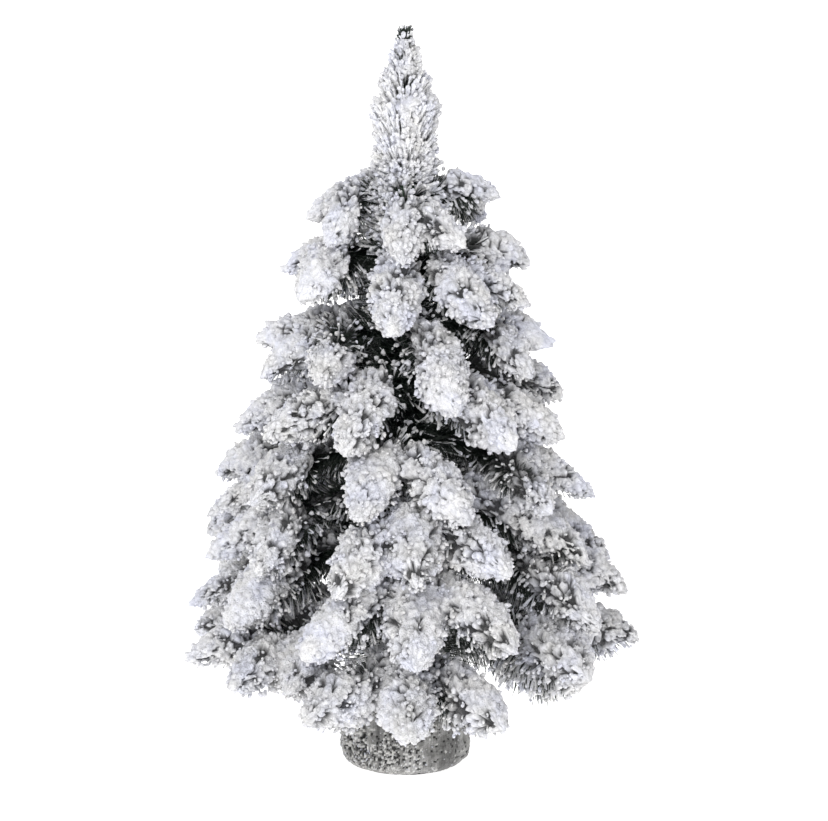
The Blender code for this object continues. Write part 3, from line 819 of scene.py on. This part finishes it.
def outer_needles(batch, wire, rng, grid, radius, step, start, snow, bare):
    """Flocked needles that end evenly over the outside of the brush."""
    end = wire.length
    weight = radius * (0.35 + 0.65 * np.clip((grid - start) / (end - start) / 0.55, 0, 1))
    area = 2 * np.pi * (weight * step).sum()
    count = int(COVER * area / (math.pi * GRAIN**2))
    total = np.cumsum(weight)
    pick = (np.arange(count) + rng.random(count)) / count * total[-1]
    distance = np.interp(pick, total, grid)
    turn = np.arange(count) * 2.399963 + rng.normal(size=count) * 0.35  # steps of the golden angle
    centre, ahead = wire.sample(distance)
    out = sideways(ahead, turn)
    full = np.interp(distance, grid, radius)
    tip = centre + out * full[:, None]
    # tufts: the outline swells and sinks over a centimetre or so, and a little from needle to needle
    tufts = field(tip, 0.017) * 0.45 + field(tip, 0.0075, 1) * 0.35
    heavy, puffy = heaviness(wire, distance, centre, out, tip, start, snow, bare)
    _, _, gone = popcorn(tip, heavy, full, puffy)
    heavy = heavy + 0.13 * tufts + 0.14 * rng.normal(size=count) - 0.45 * gone
    heavy = np.clip(heavy, 0, 1.15)
    full = full * (1 + 0.11 * tufts + 0.04 * rng.normal(size=count))
    full = full * (0.84 + 0.16 * np.clip(heavy / 0.5, 0, 1))
    lean = np.radians(30 + 26 * np.clip((end - distance) / 0.06, 0, 1))
    lean = lean + rng.normal(size=count) * 0.09
    tip = centre + out * full[:, None] - UP * (0.05 * full)[:, None]
    foot = np.clip(distance - full / np.tan(lean), start * 0.6, end - 0.010)
    base, _ = wire.sample(foot)
    grained = heavy > 0.50
    keep = grained | (rng.random(count) < np.where(gone, 0.22, 0.80))
    coat(batch, base[keep], tip[keep], heavy[keep], rng, puffy[keep], grained[keep])


def inner_needles(batch, wire, rng, grid, radius, start):
    """The dark inside: short needles that hide the wire."""
    end = wire.length
    count = int((end - start) * 1000 * 3.2)
    first = start * 0.7
    distance = first + (start + (end - start) * 0.55 - first) * rng.random(count)
    base, ahead = wire.sample(distance)
    lean = np.radians(46 + 28 * rng.random(count))
    way = leaning(ahead, rng.random(count) * 2 * np.pi, lean)
    trunk = np.hypot(base[:, 0], base[:, 1])
    reach = np.minimum(0.015 + 0.015 * rng.random(count), 0.006 + 0.62 * trunk)
    room = np.interp(distance + reach * np.cos(lean), grid, radius)
    reach = np.minimum(reach, (0.55 + 0.30 * rng.random(count)) * room / np.sin(lean))
    tip = base + way * reach[:, None]
    needles(batch, base, tip, 0.0005, rng, 0.0, 0.34 * rng.random(count) ** 2)


def skirt(batch, wire, rng, count, low, high, longest, dusted):
    """Needles that hang below part of a branch, dark at the root and some dusted at the tip."""
    base, ahead = wire.sample(wire.length * (low + (high - low) * (along := rng.random(count))))
    way = unit(ahead * 0.55 - UP * 0.95 + rng.normal(size=(count, 3)) * [0.34, 0.34, 0.12])
    left = wire.length - wire.length * (low + (high - low) * along)
    trunk = np.hypot(base[:, 0], base[:, 1])
    room = np.clip(left / 0.045, 0.3, 1) * np.clip(trunk / 0.045, 0.25, 1)
    tip = base + way * (longest * (0.62 + 0.38 * rng.random(count)) * room)[:, None]
    dusty = rng.random(count) < dusted
    dark = ~dusty
    needles(batch, base[dark], tip[dark], 0.00055, rng, 0.0, 0.5 * rng.random(dark.sum()) ** 2)
    heavy = np.clip(0.36 + 0.16 * rng.normal(size=dusty.sum()), 0.14, 1)
    coat(batch, base[dusty], tip[dusty], heavy, rng)


def build_branches():
    for tier, (rise, droop, lift, widest, snow, bare, branches) in enumerate(TIERS, 1):
        roots = [tips[0][2] + rise * (tips[0][1] - HINGE_RADIUS) for tips in branches]
        middle = sum(roots) / len(roots)
        for number, (tips, root) in enumerate(zip(branches, roots), 1):
            # every root stays within the binding
            root = middle + max(-0.3, min(0.3, (root - middle) / 0.02)) * BINDING_HEIGHT
            rng = np.random.default_rng(1000 * tier + number)
            batch = Batch()
            for k, wire in enumerate(branch_wires(tips, root, droop, lift)):
                key = (tier, number, k)
                start = 0.014 if k == 0 else 0.004
                width = widest * (0.94 + 0.12 * rng.random()) * WIDTH_SHARES.get(key, 1.0)
                brush(batch, wire, rng, start, width, snow, bare)
                usual = MAIN_SKIRT if k == 0 else SIDE_SKIRT
                skirt(batch, wire, rng, *SPECIAL_SKIRTS.get(key, usual))
                if key in FRINGES:
                    skirt(batch, wire, rng, *FRINGES[key])
                twisted_wire(batch, wire, wire.length - 0.010)
            node = f"tier{tier}_branch{number}"
            piece(f"foliage_{node}", batch, BRUSH_MATERIALS, node, node)


# ---------------------------------------------------------------- leader, the upright top
LEADER_BOTTOM, LEADER_TOP = 0.4725, 0.5955
# height and radius of the leader's outline
LEADER_PROFILE = np.array([
    (0.470, 0.014), (0.480, 0.024), (0.490, 0.029), (0.500, 0.0255), (0.509, 0.0265),
    (0.519, 0.0250), (0.529, 0.0265), (0.5385, 0.0290), (0.548, 0.0190), (0.558, 0.0215),
    (0.5676, 0.0130), (0.577, 0.0125), (0.587, 0.0080), (0.597, 0.0055),
])


def leader_radius(z):
    return np.interp(z, LEADER_PROFILE[:, 0], LEADER_PROFILE[:, 1])


def leader_needles(batch, rng):
    """Flocked needles all over the leader."""
    tip_z = LEADER_HINGE + (0.596 - LEADER_HINGE) * rng.random(1350)
    tip_z = tip_z[rng.random(1350) < leader_radius(tip_z) / 0.0265 + 0.10]
    count = len(tip_z)
    lean = np.radians(38) + rng.normal(size=count) * 0.10
    angle = rng.random(count) * 2 * np.pi
    radius = leader_radius(tip_z) * (0.86 + 0.20 * rng.random(count))
    base = round_axis(0, angle, np.maximum(tip_z - radius / np.tan(lean), LEADER_HINGE))
    heavy = 0.74 + 0.24 * rng.normal(size=count) - 0.6 * np.clip((tip_z - 0.582) / 0.01, 0, 1)
    coat(batch, base, round_axis(radius, angle, tip_z), np.clip(heavy, 0, 1.15), rng)


def leader_core(batch):
    """Where the flock has fused over the needles: a lumpy closed body, full in some places and
    sunk in others."""
    rings, sides = 84, 90
    z = np.linspace(0.486, 0.588, rings)
    angle = full_turn(sides)
    full = np.repeat(leader_radius(z), sides)
    out = np.tile(np.column_stack([np.sin(angle), -np.cos(angle), np.zeros(sides)]), (rings, 1))
    centre = np.column_stack([np.zeros((rings * sides, 2)), np.repeat(z, sides)])
    surface = centre + out * full[:, None]
    # the biggest patch is at the front, a little below the middle
    near = np.linalg.norm((surface - [0.006, -0.024, 0.528]) * [1, 0.6, 0.75], axis=1)
    front = np.clip(1.3 - near / 0.016, 0, 1)
    heavy = np.clip(0.50 + 0.42 * field(surface, 0.024, 1) + 0.30 * front, 0, 1.1)
    puffy = np.clip(0.15 + 0.7 * front + 0.4 * field(surface, 0.03, 2), 0, 0.8)
    high, tone, _ = popcorn(surface, heavy, full, puffy)
    sunk = np.clip(0.28 + 0.62 * heavy, 0.35, 0.97)
    reach = full * sunk * (1 + 0.07 * field(surface, 0.0075, 1))
    reach = reach + high * np.clip(full / 0.02, 0.3, 1) - 0.0008
    verts = centre + out * np.maximum(reach, 0.0015)[:, None]
    ends = np.array([[0, 0, z[0] - 0.002], [0, 0, z[-1] + 0.001]])
    # painted shade: the core is painted darker the deeper it sinks, for the shade there and the dark needles that show
    tone = np.concatenate([tone * np.clip((sunk - 0.40) / 0.30, 0.05, 1), [0.3, 0.3]])
    batch.add_closed(verts.reshape(1, rings, sides, 3), ends[None], tone, FLOCK_SLOT, WHITE)


def leader_foot(batch, rng):
    """The lowest needles, which spread level over the end of the pole."""
    count = 240
    angle = rng.random(count) * 2 * np.pi
    base = round_axis(0, angle, 0.4765 + 0.008 * rng.random(count))
    reach = 0.013 + 0.012 * rng.random(count)
    tip = round_axis(reach, angle, base[:, 2] - 0.006 + 0.012 * rng.random(count))
    coat(batch, base, tip, np.clip(0.50 + 0.2 * rng.normal(size=count), 0, 1), rng)


def leader_inside(batch, stem, rng):
    """Dark needles that hide the stem."""
    count = 300
    base, ahead = stem.sample(0.004 + 0.112 * rng.random(count))
    turn = rng.random(count) * 2 * np.pi
    way = leaning(ahead, turn, np.radians(35 + 25 * rng.random(count)))
    reach = leader_radius(base[:, 2]) * (0.5 + 0.5 * rng.random(count))
    needles(batch, base, base + way * reach[:, None], 0.0005, rng, 0.0, 0.3 * rng.random(count))


def leader_tuft(batch, rng):
    """The bare tuft at the very top, with a few granules."""
    count = 110
    angle = rng.random(count) * 2 * np.pi
    base = round_axis(0, angle, 0.578 + 0.014 * rng.random(count))
    spread = 0.0072 * np.sqrt(rng.random(count))
    tip = round_axis(spread, angle, 0.5890 + 0.0105 * rng.random(count))
    needles(batch, base, tip, 0.0006, rng, 0.0, 0.20)
    chosen = rng.random(count) < 0.10
    base, tip = base[chosen], tip[chosen]
    radius = 0.0009 + 0.0005 * rng.random(len(tip))
    granules(batch, tip - UP * 0.0012, radius, unit(tip - base), np.ones(len(tip)), rng)


def build_leader():
    rng = np.random.default_rng(77)
    batch = Batch()
    stem = Wire(UP * LEADER_BOTTOM, UP, UP * LEADER_TOP, UP)
    twisted_wire(batch, stem, stem.length, strand=0.0007)
    leader_needles(batch, rng)
    leader_core(batch)
    leader_foot(batch, rng)
    leader_inside(batch, stem, rng)
    leader_tuft(batch, rng)
    piece("foliage_leader", batch, BRUSH_MATERIALS, "leader", "leader")


def build_trunk_tinsel():
    """Short dark needles wound round the pole between the branches, mostly flocked near the top."""
    rng = np.random.default_rng(31)
    batch = Batch()
    count, bottom, top = 8500, 0.085, 0.468
    z = bottom + (top - bottom) * rng.random(count) ** 1.25
    angle = rng.random(count) * 2 * np.pi
    rise = np.radians(-12 + 50 * rng.random(count))
    out = round_axis(1, angle, np.zeros(count))
    way = unit(out * np.cos(rise)[:, None] + UP * np.sin(rise)[:, None])
    base = out * 0.0064 + UP * z[:, None]
    heights = [bottom, 0.15, 0.30, 0.40, 0.45, 0.47]
    longest = np.interp(z, heights, [0.056, 0.054, 0.042, 0.036, 0.034, 0.030])
    tip = base + way * (longest * (0.55 + 0.45 * rng.random(count)))[:, None]
    tip[:, 2] = np.minimum(tip[:, 2], 0.482 - 0.006 * rng.random(count))
    upper = np.clip((z - 0.415) / 0.02, 0, 1)
    coated = rng.random(count) < 0.10 + 0.85 * upper
    dark = ~coated
    number = int(dark.sum())
    width = 0.00045 + 0.0001 * rng.random(number)
    dust = np.clip(0.08 + 0.22 * rng.normal(size=number), 0, 0.7)
    needles(batch, base[dark], tip[dark], width, rng, 0.0, dust)
    heavy = 0.42 + 0.26 * upper[coated] + 0.16 * rng.normal(size=count - number)
    coat(batch, base[coated], tip[coated], np.clip(heavy, 0, 1), rng)
    piece("trunk_tinsel", batch, BRUSH_MATERIALS)


# ---------------------------------------------------------------- cloth round the base
WRAP_LOW = float(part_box("base_wrap")[0][2])
# radius and height, from under the weight to the tie at the trunk
WRAP_PROFILE = [
    (0.0300, WRAP_LOW), (0.0415, WRAP_LOW), (0.0457, WRAP_LOW + 0.0008),
    (0.0493, WRAP_LOW + 0.0032), (0.0517, WRAP_LOW + 0.0068), (0.0525, WRAP_LOW + 0.0110),
    (0.0525, 0.0300), (0.0521, 0.0450), (0.0505, 0.0530), (0.0480, 0.0570), (0.0405, 0.0615),
    (0.0280, 0.0645), (0.0190, 0.0690), (0.0120, 0.0740), (0.0092, 0.0790), (0.0108, 0.0840),
]
# folds pressed into the cloth wall: azimuth, lower and upper end, depth (less than 0 stands out),
# half-width in degrees
FOLDS = [
    (-76, 0.012, 0.050, 0.0016, 2.6), (-66, 0.010, 0.052, -0.0016, 4.0),
    (-58, 0.008, 0.040, 0.0024, 2.8), (-49, 0.014, 0.052, -0.0014, 3.0),
    (-40, 0.016, 0.052, 0.0022, 2.4), (-33, 0.020, 0.052, -0.0012, 3.0),
    (-24, 0.024, 0.050, 0.0014, 2.6), (28, 0.002, 0.020, -0.0014, 2.0),
    (33, 0.004, 0.017, 0.0007, 2.0), (52, 0.018, 0.034, 0.0018, 1.8),
    (60, 0.006, 0.050, -0.0012, 4.0), (72, 0.010, 0.048, -0.0012, 4.0),
    (66, 0.016, 0.050, 0.0012, 2.2), (104, 0.010, 0.050, 0.0018, 3.0),
    (131, 0.014, 0.052, 0.0020, 3.0), (158, 0.008, 0.050, 0.0016, 3.0),
    (186, 0.012, 0.052, 0.0022, 3.0), (214, 0.010, 0.050, 0.0018, 3.0),
    (241, 0.016, 0.052, 0.0020, 3.0), (263, 0.010, 0.046, 0.0016, 3.0),
]
CLOTH_THICKNESS = 0.0040
WARP_COUNT, WEFT_PITCH = 178.0, 0.00185  # threads round the cloth, and their pitch up it
SLUBS = 400  # different threads before their thicknesses repeat
SIM_SCALE = 20.0  # the solver works badly on millimetres
SIM_FRAMES = 40


def along_profile(profile, count):
    points = np.array(profile)
    steps = np.linalg.norm(np.diff(points, axis=0), axis=1)
    far = np.concatenate([[0], np.cumsum(steps)])
    at = np.linspace(0, far[-1], count)
    return np.column_stack([np.interp(at, far, points[:, 0]), np.interp(at, far, points[:, 1])])


def turned(rings, columns):
    """(rows, columns, 3) points of a profile turned about Z. Column 0 faces the front."""
    angle = full_turn(columns)
    x, y = rings[:, :1] * np.sin(angle)[None], -rings[:, :1] * np.cos(angle)[None]
    return np.stack([x, y, np.repeat(rings[:, 1:], columns, axis=1)], axis=2)


def azimuths(points):
    """In radians."""
    return np.arctan2(points[:, :, 0], -points[:, :, 1])


def grid_object(name, points):
    rows, columns = points.shape[:2]
    mesh = bpy.data.meshes.new(name)
    mesh.from_pydata(points.reshape(-1, 3).tolist(), [], grid_faces(rows, columns).tolist())
    return object_of(name, mesh)


def draped():
    """The cloth drawn up over the weight and tied at the trunk, from a cloth simulation: the cloth
    is wider than the weight, and more so towards the tie, so it buckles into folds. Returns
    (rows, columns, 3)."""
    rows, columns = 40, 150
    rings = along_profile(WRAP_PROFILE, rows)
    wide = turned(rings + [[0.0008, 0.0]], columns) * SIM_SCALE
    rise = np.clip((rings[:, 1] - WRAP_LOW - 0.004) / 0.052, 0, 1)
    gather = np.clip((0.050 - rings[:, 0]) / 0.034, 0, 1) * (rise > 0.9)
    slack = 0.015 + 0.16 * rise + 0.9 * gather
    # most of the slack is on the left
    uneven = 1 + 0.7 * np.cos(full_turn(columns) + 1.3)
    more = 1 + slack[:, None] * uneven[None]
    rest = wide * np.stack([more, more, np.ones_like(more)], axis=2)
    rng = np.random.default_rng(9)
    start = wide.copy()
    loose = (0.006 + 0.006 * rng.random((rows, columns, 1))) * (rise[:, None, None] > 0)
    start[:, :, :2] *= 1 + loose

    cloth = grid_object("cloth", start)
    cloth.shape_key_add(name="Basis")
    key = cloth.shape_key_add(name="rest")
    key.data.foreach_set("co", rest.reshape(-1).astype(np.float32))
    key.value = 0.0
    pins = cloth.vertex_groups.new(name="pins")
    pinned = list(range(columns * 3)) + list(range((rows - 2) * columns, rows * columns))
    pins.add(pinned, 1.0, "REPLACE")
    modifier = cloth.modifiers.new("cloth", "CLOTH")
    settings = modifier.settings
    settings.rest_shape_key = key
    settings.vertex_group_mass = "pins"
    settings.quality = 7
    settings.mass = 0.3
    settings.tension_stiffness = settings.compression_stiffness = 30
    settings.shear_stiffness = 8
    settings.bending_stiffness = 0.6
    settings.air_damping = 2
    modifier.collision_settings.distance_min = 0.012
    modifier.point_cache.frame_start, modifier.point_cache.frame_end = 1, SIM_FRAMES

    # the body the cloth falls on
    inside = np.array(WRAP_PROFILE) - [[0.0010, 0.0]]
    inside[0, 0] = inside[-1, 0] = 0.0004
    weight = grid_object("block", turned(along_profile(inside, 30), 96) * SIM_SCALE)
    weight.modifiers.new("collision", "COLLISION")
    weight.collision.thickness_outer = 0.008

    scene = bpy.context.scene
    for number in range(1, SIM_FRAMES + 1):
        scene.frame_set(number)
    graph = bpy.context.evaluated_depsgraph_get()
    shown = cloth.evaluated_get(graph).to_mesh()
    found = np.zeros(rows * columns * 3)
    shown.vertices.foreach_get("co", found)
    cloth.evaluated_get(graph).to_mesh_clear()
    scene.frame_set(1)
    bpy.data.objects.remove(cloth)
    bpy.data.objects.remove(weight)
    return found.reshape(rows, columns, 3) / SIM_SCALE


def catmull(points, times, axis, loop):
    """A smooth curve through the points along an axis, with times as many steps."""
    points = np.moveaxis(points, axis, 0)
    size = len(points)
    at = np.arange(size * times if loop else (size - 1) * times + 1) / times
    i = np.minimum(at.astype(int), size - 1)
    part = (at - i).reshape(-1, *([1] * (points.ndim - 1)))

    def take(k):
        return points[k % size] if loop else points[np.clip(k, 0, size - 1)]

    before, here, after, beyond = take(i - 1), take(i), take(i + 1), take(i + 2)
    cubic = part * (3 * (here - after) + beyond - before)
    square = part * (2 * before - 5 * here + 4 * after - beyond + cubic)
    return np.moveaxis(here + 0.5 * part * (after - before + square), 0, axis)


def thread(own, other, slubs, rate):
    """How far threads stand up. own: the place across them, counted in threads."""
    slub = slubs[np.floor(own).astype(int) % SLUBS]
    thick = 1 + 0.28 * slub * (np.sin(other * rate + slub) > 0)
    return np.abs(np.sin(np.pi * own)) ** 0.7 * thick


def fold_depth(azimuth, z):
    fold = np.zeros_like(z)
    for at, low, top, depth, half in FOLDS:
        slant = 60 * (z - 0.03) * math.sin(at)  # the sine only varies the slant from fold to fold
        off = (azimuth - at + 180) % 360 - 180 + slant
        ends = np.clip((z - low) / 0.006, 0, 1) * np.clip((top - z) / 0.006, 0, 1)
        fold += depth * np.exp(-((off / half) ** 2)) * ends
    return fold


def build_wrap():
    sheet = catmull(catmull(draped(), 4, axis=1, loop=True), 4, axis=0, loop=False)
    rows, columns = sheet.shape[:2]
    along = np.roll(sheet, -1, axis=1) - np.roll(sheet, 1, axis=1)
    normal = unit(np.cross(along, np.gradient(sheet, axis=0)))

    def noise(wavelength, which=0):
        return field(sheet.reshape(-1, 3), wavelength, which).reshape(rows, columns)

    # threads: a plain weave, uneven in thickness and spacing
    steps = np.linalg.norm(np.diff(sheet, axis=0), axis=2).mean(1)
    height = np.concatenate([[0], np.cumsum(steps)])[:, None]
    drift = noise(0.045)
    x = (np.arange(columns) / columns)[None] * WARP_COUNT + 0.9 * drift
    y = height / WEFT_PITCH + 0.8 * noise(0.038, 1)
    rng = np.random.default_rng(12)
    slub_x, slub_y = rng.normal(size=SLUBS), rng.normal(size=SLUBS)
    bead_x, bead_y = thread(x, y, slub_x, 0.21), thread(y, x, slub_y, 0.17)
    over = np.where((np.floor(x) + np.floor(y)) % 2 == 0, 1.0, -1.0)
    high = np.maximum(bead_x * (1 + 0.55 * over), bead_y * (1 - 0.55 * over))
    high = 0.00036 * (high - 0.9)
    gap = np.clip(1 - (bead_x + bead_y) / 0.95, 0, 1)
    crumple = 0.0006 * noise(0.011, 1) + 0.0005 * noise(0.023, 2)
    z = sheet[:, :, 2]
    wall = np.clip((z - WRAP_LOW - 0.001) / 0.004, 0, 1)
    azimuth = np.degrees(azimuths(sheet))
    fold = fold_depth(azimuth, z)
    # where flock has caught in the weave, crossing by crossing: most of it low on the left
    left = np.clip(1.25 - np.abs(azimuth + 42) / 62, 0, 1) * np.clip(1.5 - z / 0.034, 0.12, 1)
    dusted = np.clip(0.10 + 0.75 * left + 0.20 * noise(0.03, 1), 0.03, 0.9)
    code_x, code_y = (np.floor(value * 1.1).astype(np.int64) for value in (x, y))
    crossing = (scramble((code_x * 73856093) ^ (code_y * 19349663)) & 65535) / 65535.0
    caught = (crossing > 1 - 0.42 * dusted) & (bead_x + bead_y > 0.8)
    open_weave = (crossing < 0.05 + 0.30 * dusted) & (wall > 0.9)
    high = high + np.where(caught, 0.0004, 0) - np.where(open_weave, 0.0005, 0)
    rise = (high + crumple * wall) * (0.3 + 0.7 * wall) - 0.0006 * gap - fold * wall
    surface = sheet + normal * rise[..., None]
    surface[:, :, 2] = np.maximum(surface[:, :, 2], WRAP_LOW - 0.0002)
    # the weave's tone, partly painted light: the thread lying on top is painted lighter as a painted highlight, the
    # gaps between threads, the open weave and the pressed-in folds are painted darker as painted shade, and folds that
    # stand out are painted lighter as a painted highlight; the random crossings, the drift and the flock caught in the
    # weave are the cloth's own colour
    light = 0.25 + 0.14 * bead_y * (over < 0) + 0.11 * bead_x * (over > 0) + 0.16 * (crossing - 0.5)
    light = light * (1 - 0.60 * gap) * (1 + 0.22 * drift)
    light = light * np.clip(1 - 330 * np.maximum(fold, 0), 0.12, 1) + 110 * np.maximum(-fold, 0)
    light = np.where(open_weave, 0.16 * light, light)
    light = np.where(caught, 0.66 + 0.20 * crossing, light)

    batch = Batch()
    batch.add(surface, light, grid_faces(rows, columns))
    # the cloth's inner face and its two edges
    lining = sheet - normal * CLOTH_THICKNESS
    inner = lining[::4, ::8]
    batch.add(inner, 0.2, grid_faces(*inner.shape[:2])[:, ::-1])
    for row, order in ((0, -1), (rows - 1, 1)):
        batch.add(np.stack([surface[row], lining[row]]), 0.25, grid_faces(2, columns)[:, ::order])
    piece("burlap_wrap", batch, [BURLAP], replaces="base_wrap")
    build_wrap_flock(surface, normal, left, fold, rng)


def build_wrap_flock(surface, normal, left, fold, rng):
    """Flock that fell on the cloth: thick on the shoulder and low on the left, thin on the right."""
    rows, columns = surface.shape[:2]
    count = 6500
    row = rng.integers(6, rows - 4, count)
    column = rng.integers(0, columns, count)
    at, way = surface[row, column], normal[row, column]
    height = at[:, 2]
    chance = 0.02 + 0.60 * left[row, column] + 0.8 * np.clip((height - 0.052) / 0.006, 0, 1)
    chance = chance + 0.10 * np.clip(field(at, 0.02), 0, 1)
    keep = (rng.random(count) < chance) & (height > WRAP_LOW + 0.003) & (fold[row, column] < 0.0006)
    at, way, height = at[keep], way[keep], height[keep]
    radius = 0.00035 + 0.00075 * rng.random(len(at)) ** 2.6
    radius = radius + 0.0012 * (height > 0.055) * rng.random(len(at))
    batch = Batch()
    tone = 0.80 + 0.20 * rng.random(len(at))
    granules(batch, at + way * radius[:, None] * 0.25, radius, way, tone, rng)
    piece("wrap_flock", batch, [FLOCK])


# ---------------------------------------------------------------- pad, tapes, weight and pole
def build_lathed(name, profile, columns, growth, material, node):
    """A closed lathed piece in place of a CAD node. growth(points) is the share of its radius by
    which each of its (rows, columns, 3) points moves out."""
    rings = np.array(profile)
    points = turned(rings, columns)
    points[:, :, :2] *= (1 + growth(points))[..., None]
    ends = np.array([[0, 0, rings[0, 1]], [0, 0, rings[-1, 1]]])
    batch = Batch()
    batch.add_closed(points[None], ends[None], 0.5)
    piece(name, batch, [material], replaces=node)


def build_foot():
    low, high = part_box("foot_pad")
    edge, bottom, top = float(high[0]), float(low[2]), float(high[2])
    rise = top - bottom
    profile = [
        (0.2 * edge, bottom), (0.6 * edge, bottom), (0.9 * edge, bottom),
        (edge - 0.0006, bottom + 0.0001), (edge, bottom + 0.35 * rise),
        (edge, bottom + 0.7 * rise), (edge - 0.0006, top - 0.0001),
        (0.9 * edge, top), (0.6 * edge, top), (0.2 * edge, top),
    ]

    def cut(points):
        """A hand-cut edge: it wanders, and the pressed fibres stand out from it."""
        angle = azimuths(points)
        share = np.clip((np.hypot(points[:, :, 0], points[:, :, 1]) / edge - 0.8) / 0.2, 0, 1)
        wander = -0.0004 + 0.0003 * np.sin(3 * angle + 1) + 0.0002 * np.sin(11 * angle)
        return (wander + 0.00015 * np.sin(37 * angle + 2)) * share / edge

    build_lathed("felt_pad", profile, 120, cut, FELT, "foot_pad")


def build_tapes():
    turns, proud = 3.6, 0.0006
    for k in range(len(TIERS)):
        tier = f"tier{k + 1}"
        low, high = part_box(f"{tier}_binding")
        bottom, top, edge = float(low[2]), float(high[2]), float(high[0])
        profile = [(edge - proud, z) for z in np.linspace(bottom, top, 34)]

        def wound(points):
            """Overlapping turns: each starts a little proud of the last, and the crepe is
            wrinkled."""
            up = (points[:, :, 2] - bottom) / (top - bottom)
            turn = (up * turns + azimuths(points) / (2 * np.pi) + 0.3 * k) % 1.0
            wrinkle = field(points.reshape(-1, 3), 0.0032, k % 3).reshape(points.shape[:2])
            return (proud * (1 - turn) ** 1.5 + 0.00012 * wrinkle) / 0.008

        build_lathed(f"tape_{tier}", profile, 56, wound, TAPE, f"{tier}_binding")


def finish_cad():
    for node, material in (("base_weight", CEMENT), ("trunk_pole", POLE)):
        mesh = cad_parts[node].data
        mesh.materials.clear()
        mesh.materials.append(material)


build_branches()
build_leader()
build_trunk_tinsel()
build_wrap()
build_foot()
build_tapes()
finish_cad()

# ---------------------------------------------------------------- stage, light and camera
AIM = Vector((0, 0, 0.30))  # the lamps and the camera look at this point
# name, place, size (m), power (W)
LAMPS = [
    ("front", (-0.45, -2.3, 1.05), 0.9, 27),
    ("key", (-0.9, -1.2, 2.0), 1.0, 14),
    ("fill", (1.7, -1.5, 0.9), 1.2, 6),
    ("top", (0.1, 0.2, 2.4), 1.4, 10),
    ("back", (0.3, 2.0, 1.5), 1.4, 10),
]


def floor_material():
    """White ground that gives off a soft light, and looks whiter a little way from the tree."""
    shader = Shader("floor")
    position = shader.node("ShaderNodeNewGeometry").outputs["Position"]
    away = shader.node("ShaderNodeVectorMath", operation="LENGTH", Vector=position)
    fade = shader.node(
        "ShaderNodeMapRange",
        Value=away.outputs["Value"], From_Min=0.7, From_Max=1.7, To_Min=0.0, To_Max=0.3,
    )
    seen = shader.node("ShaderNodeLightPath").outputs["Is Camera Ray"]
    return shader.finish(
        (0.94, 0.94, 0.94, 1),
        0.9,
        Emission_Color=(1, 1, 1, 1),
        Emission_Strength=shader.math("MULTIPLY_ADD", seen, fade.outputs[0], 0.85),
    )


def build_floor():
    """A level floor that curves up behind the tree into a wall."""
    # far enough away that it isn't in the way of a camera behind the tree
    bend, bend_start, half_width = 2.0, 3.0, 8.0
    rows = [(-5.0, 0.0), (bend_start, 0.0)]
    for k in range(1, 13):
        angle = math.pi / 2 * k / 12
        rows.append((bend_start + bend * math.sin(angle), bend - bend * math.cos(angle)))
    rows.append((bend_start + bend, 9.0))
    verts = [(x, y, z - 0.0002) for y, z in rows for x in (-half_width, half_width)]
    faces = [(2 * k, 2 * k + 1, 2 * k + 3, 2 * k + 2) for k in range(len(rows) - 1)]
    mesh = bpy.data.meshes.new("floor")
    mesh.from_pydata(verts, [], faces)
    mesh.shade_smooth()
    floor = object_of("floor", mesh)
    mesh.materials.append(floor_material())


def build_world():
    """Soft light, but a white ground wherever the camera sees past the backdrop."""
    world = bpy.data.worlds.new("studio")
    bpy.context.scene.world = world
    world.use_nodes = True
    tree = world.node_tree
    sky = tree.nodes["Background"]
    sky.inputs["Color"].default_value = (1, 1, 1, 1)
    seen = tree.nodes.new("ShaderNodeLightPath").outputs["Is Camera Ray"]
    strength = tree.nodes.new("ShaderNodeMapRange")
    strength.inputs["To Min"].default_value = 0.24
    strength.inputs["To Max"].default_value = 1.0
    tree.links.new(seen, strength.inputs["Value"])
    tree.links.new(strength.outputs[0], sky.inputs["Strength"])


def aimed(name, data, place):
    made = object_of(name, data)
    made.location = place
    made.rotation_euler = (AIM - Vector(place)).to_track_quat("-Z", "Y").to_euler()
    return made


def build_lamps():
    for name, place, size, power in LAMPS:
        light = bpy.data.lights.new(name, "AREA")
        light.energy, light.size = power, size
        aimed(name, light, place)


def build_camera():
    camera = bpy.data.cameras.new("camera")
    camera.lens, camera.sensor_width = 97.6521739, 36
    camera.shift_x, camera.shift_y = 0.0108695652, -0.0129227053
    camera.clip_start = 0.05
    scene = bpy.context.scene
    scene.camera = aimed("camera", camera, (0, -1.80, 0.55))
    scene.view_settings.view_transform = "Standard"


build_floor()
build_world()
build_lamps()
build_camera()
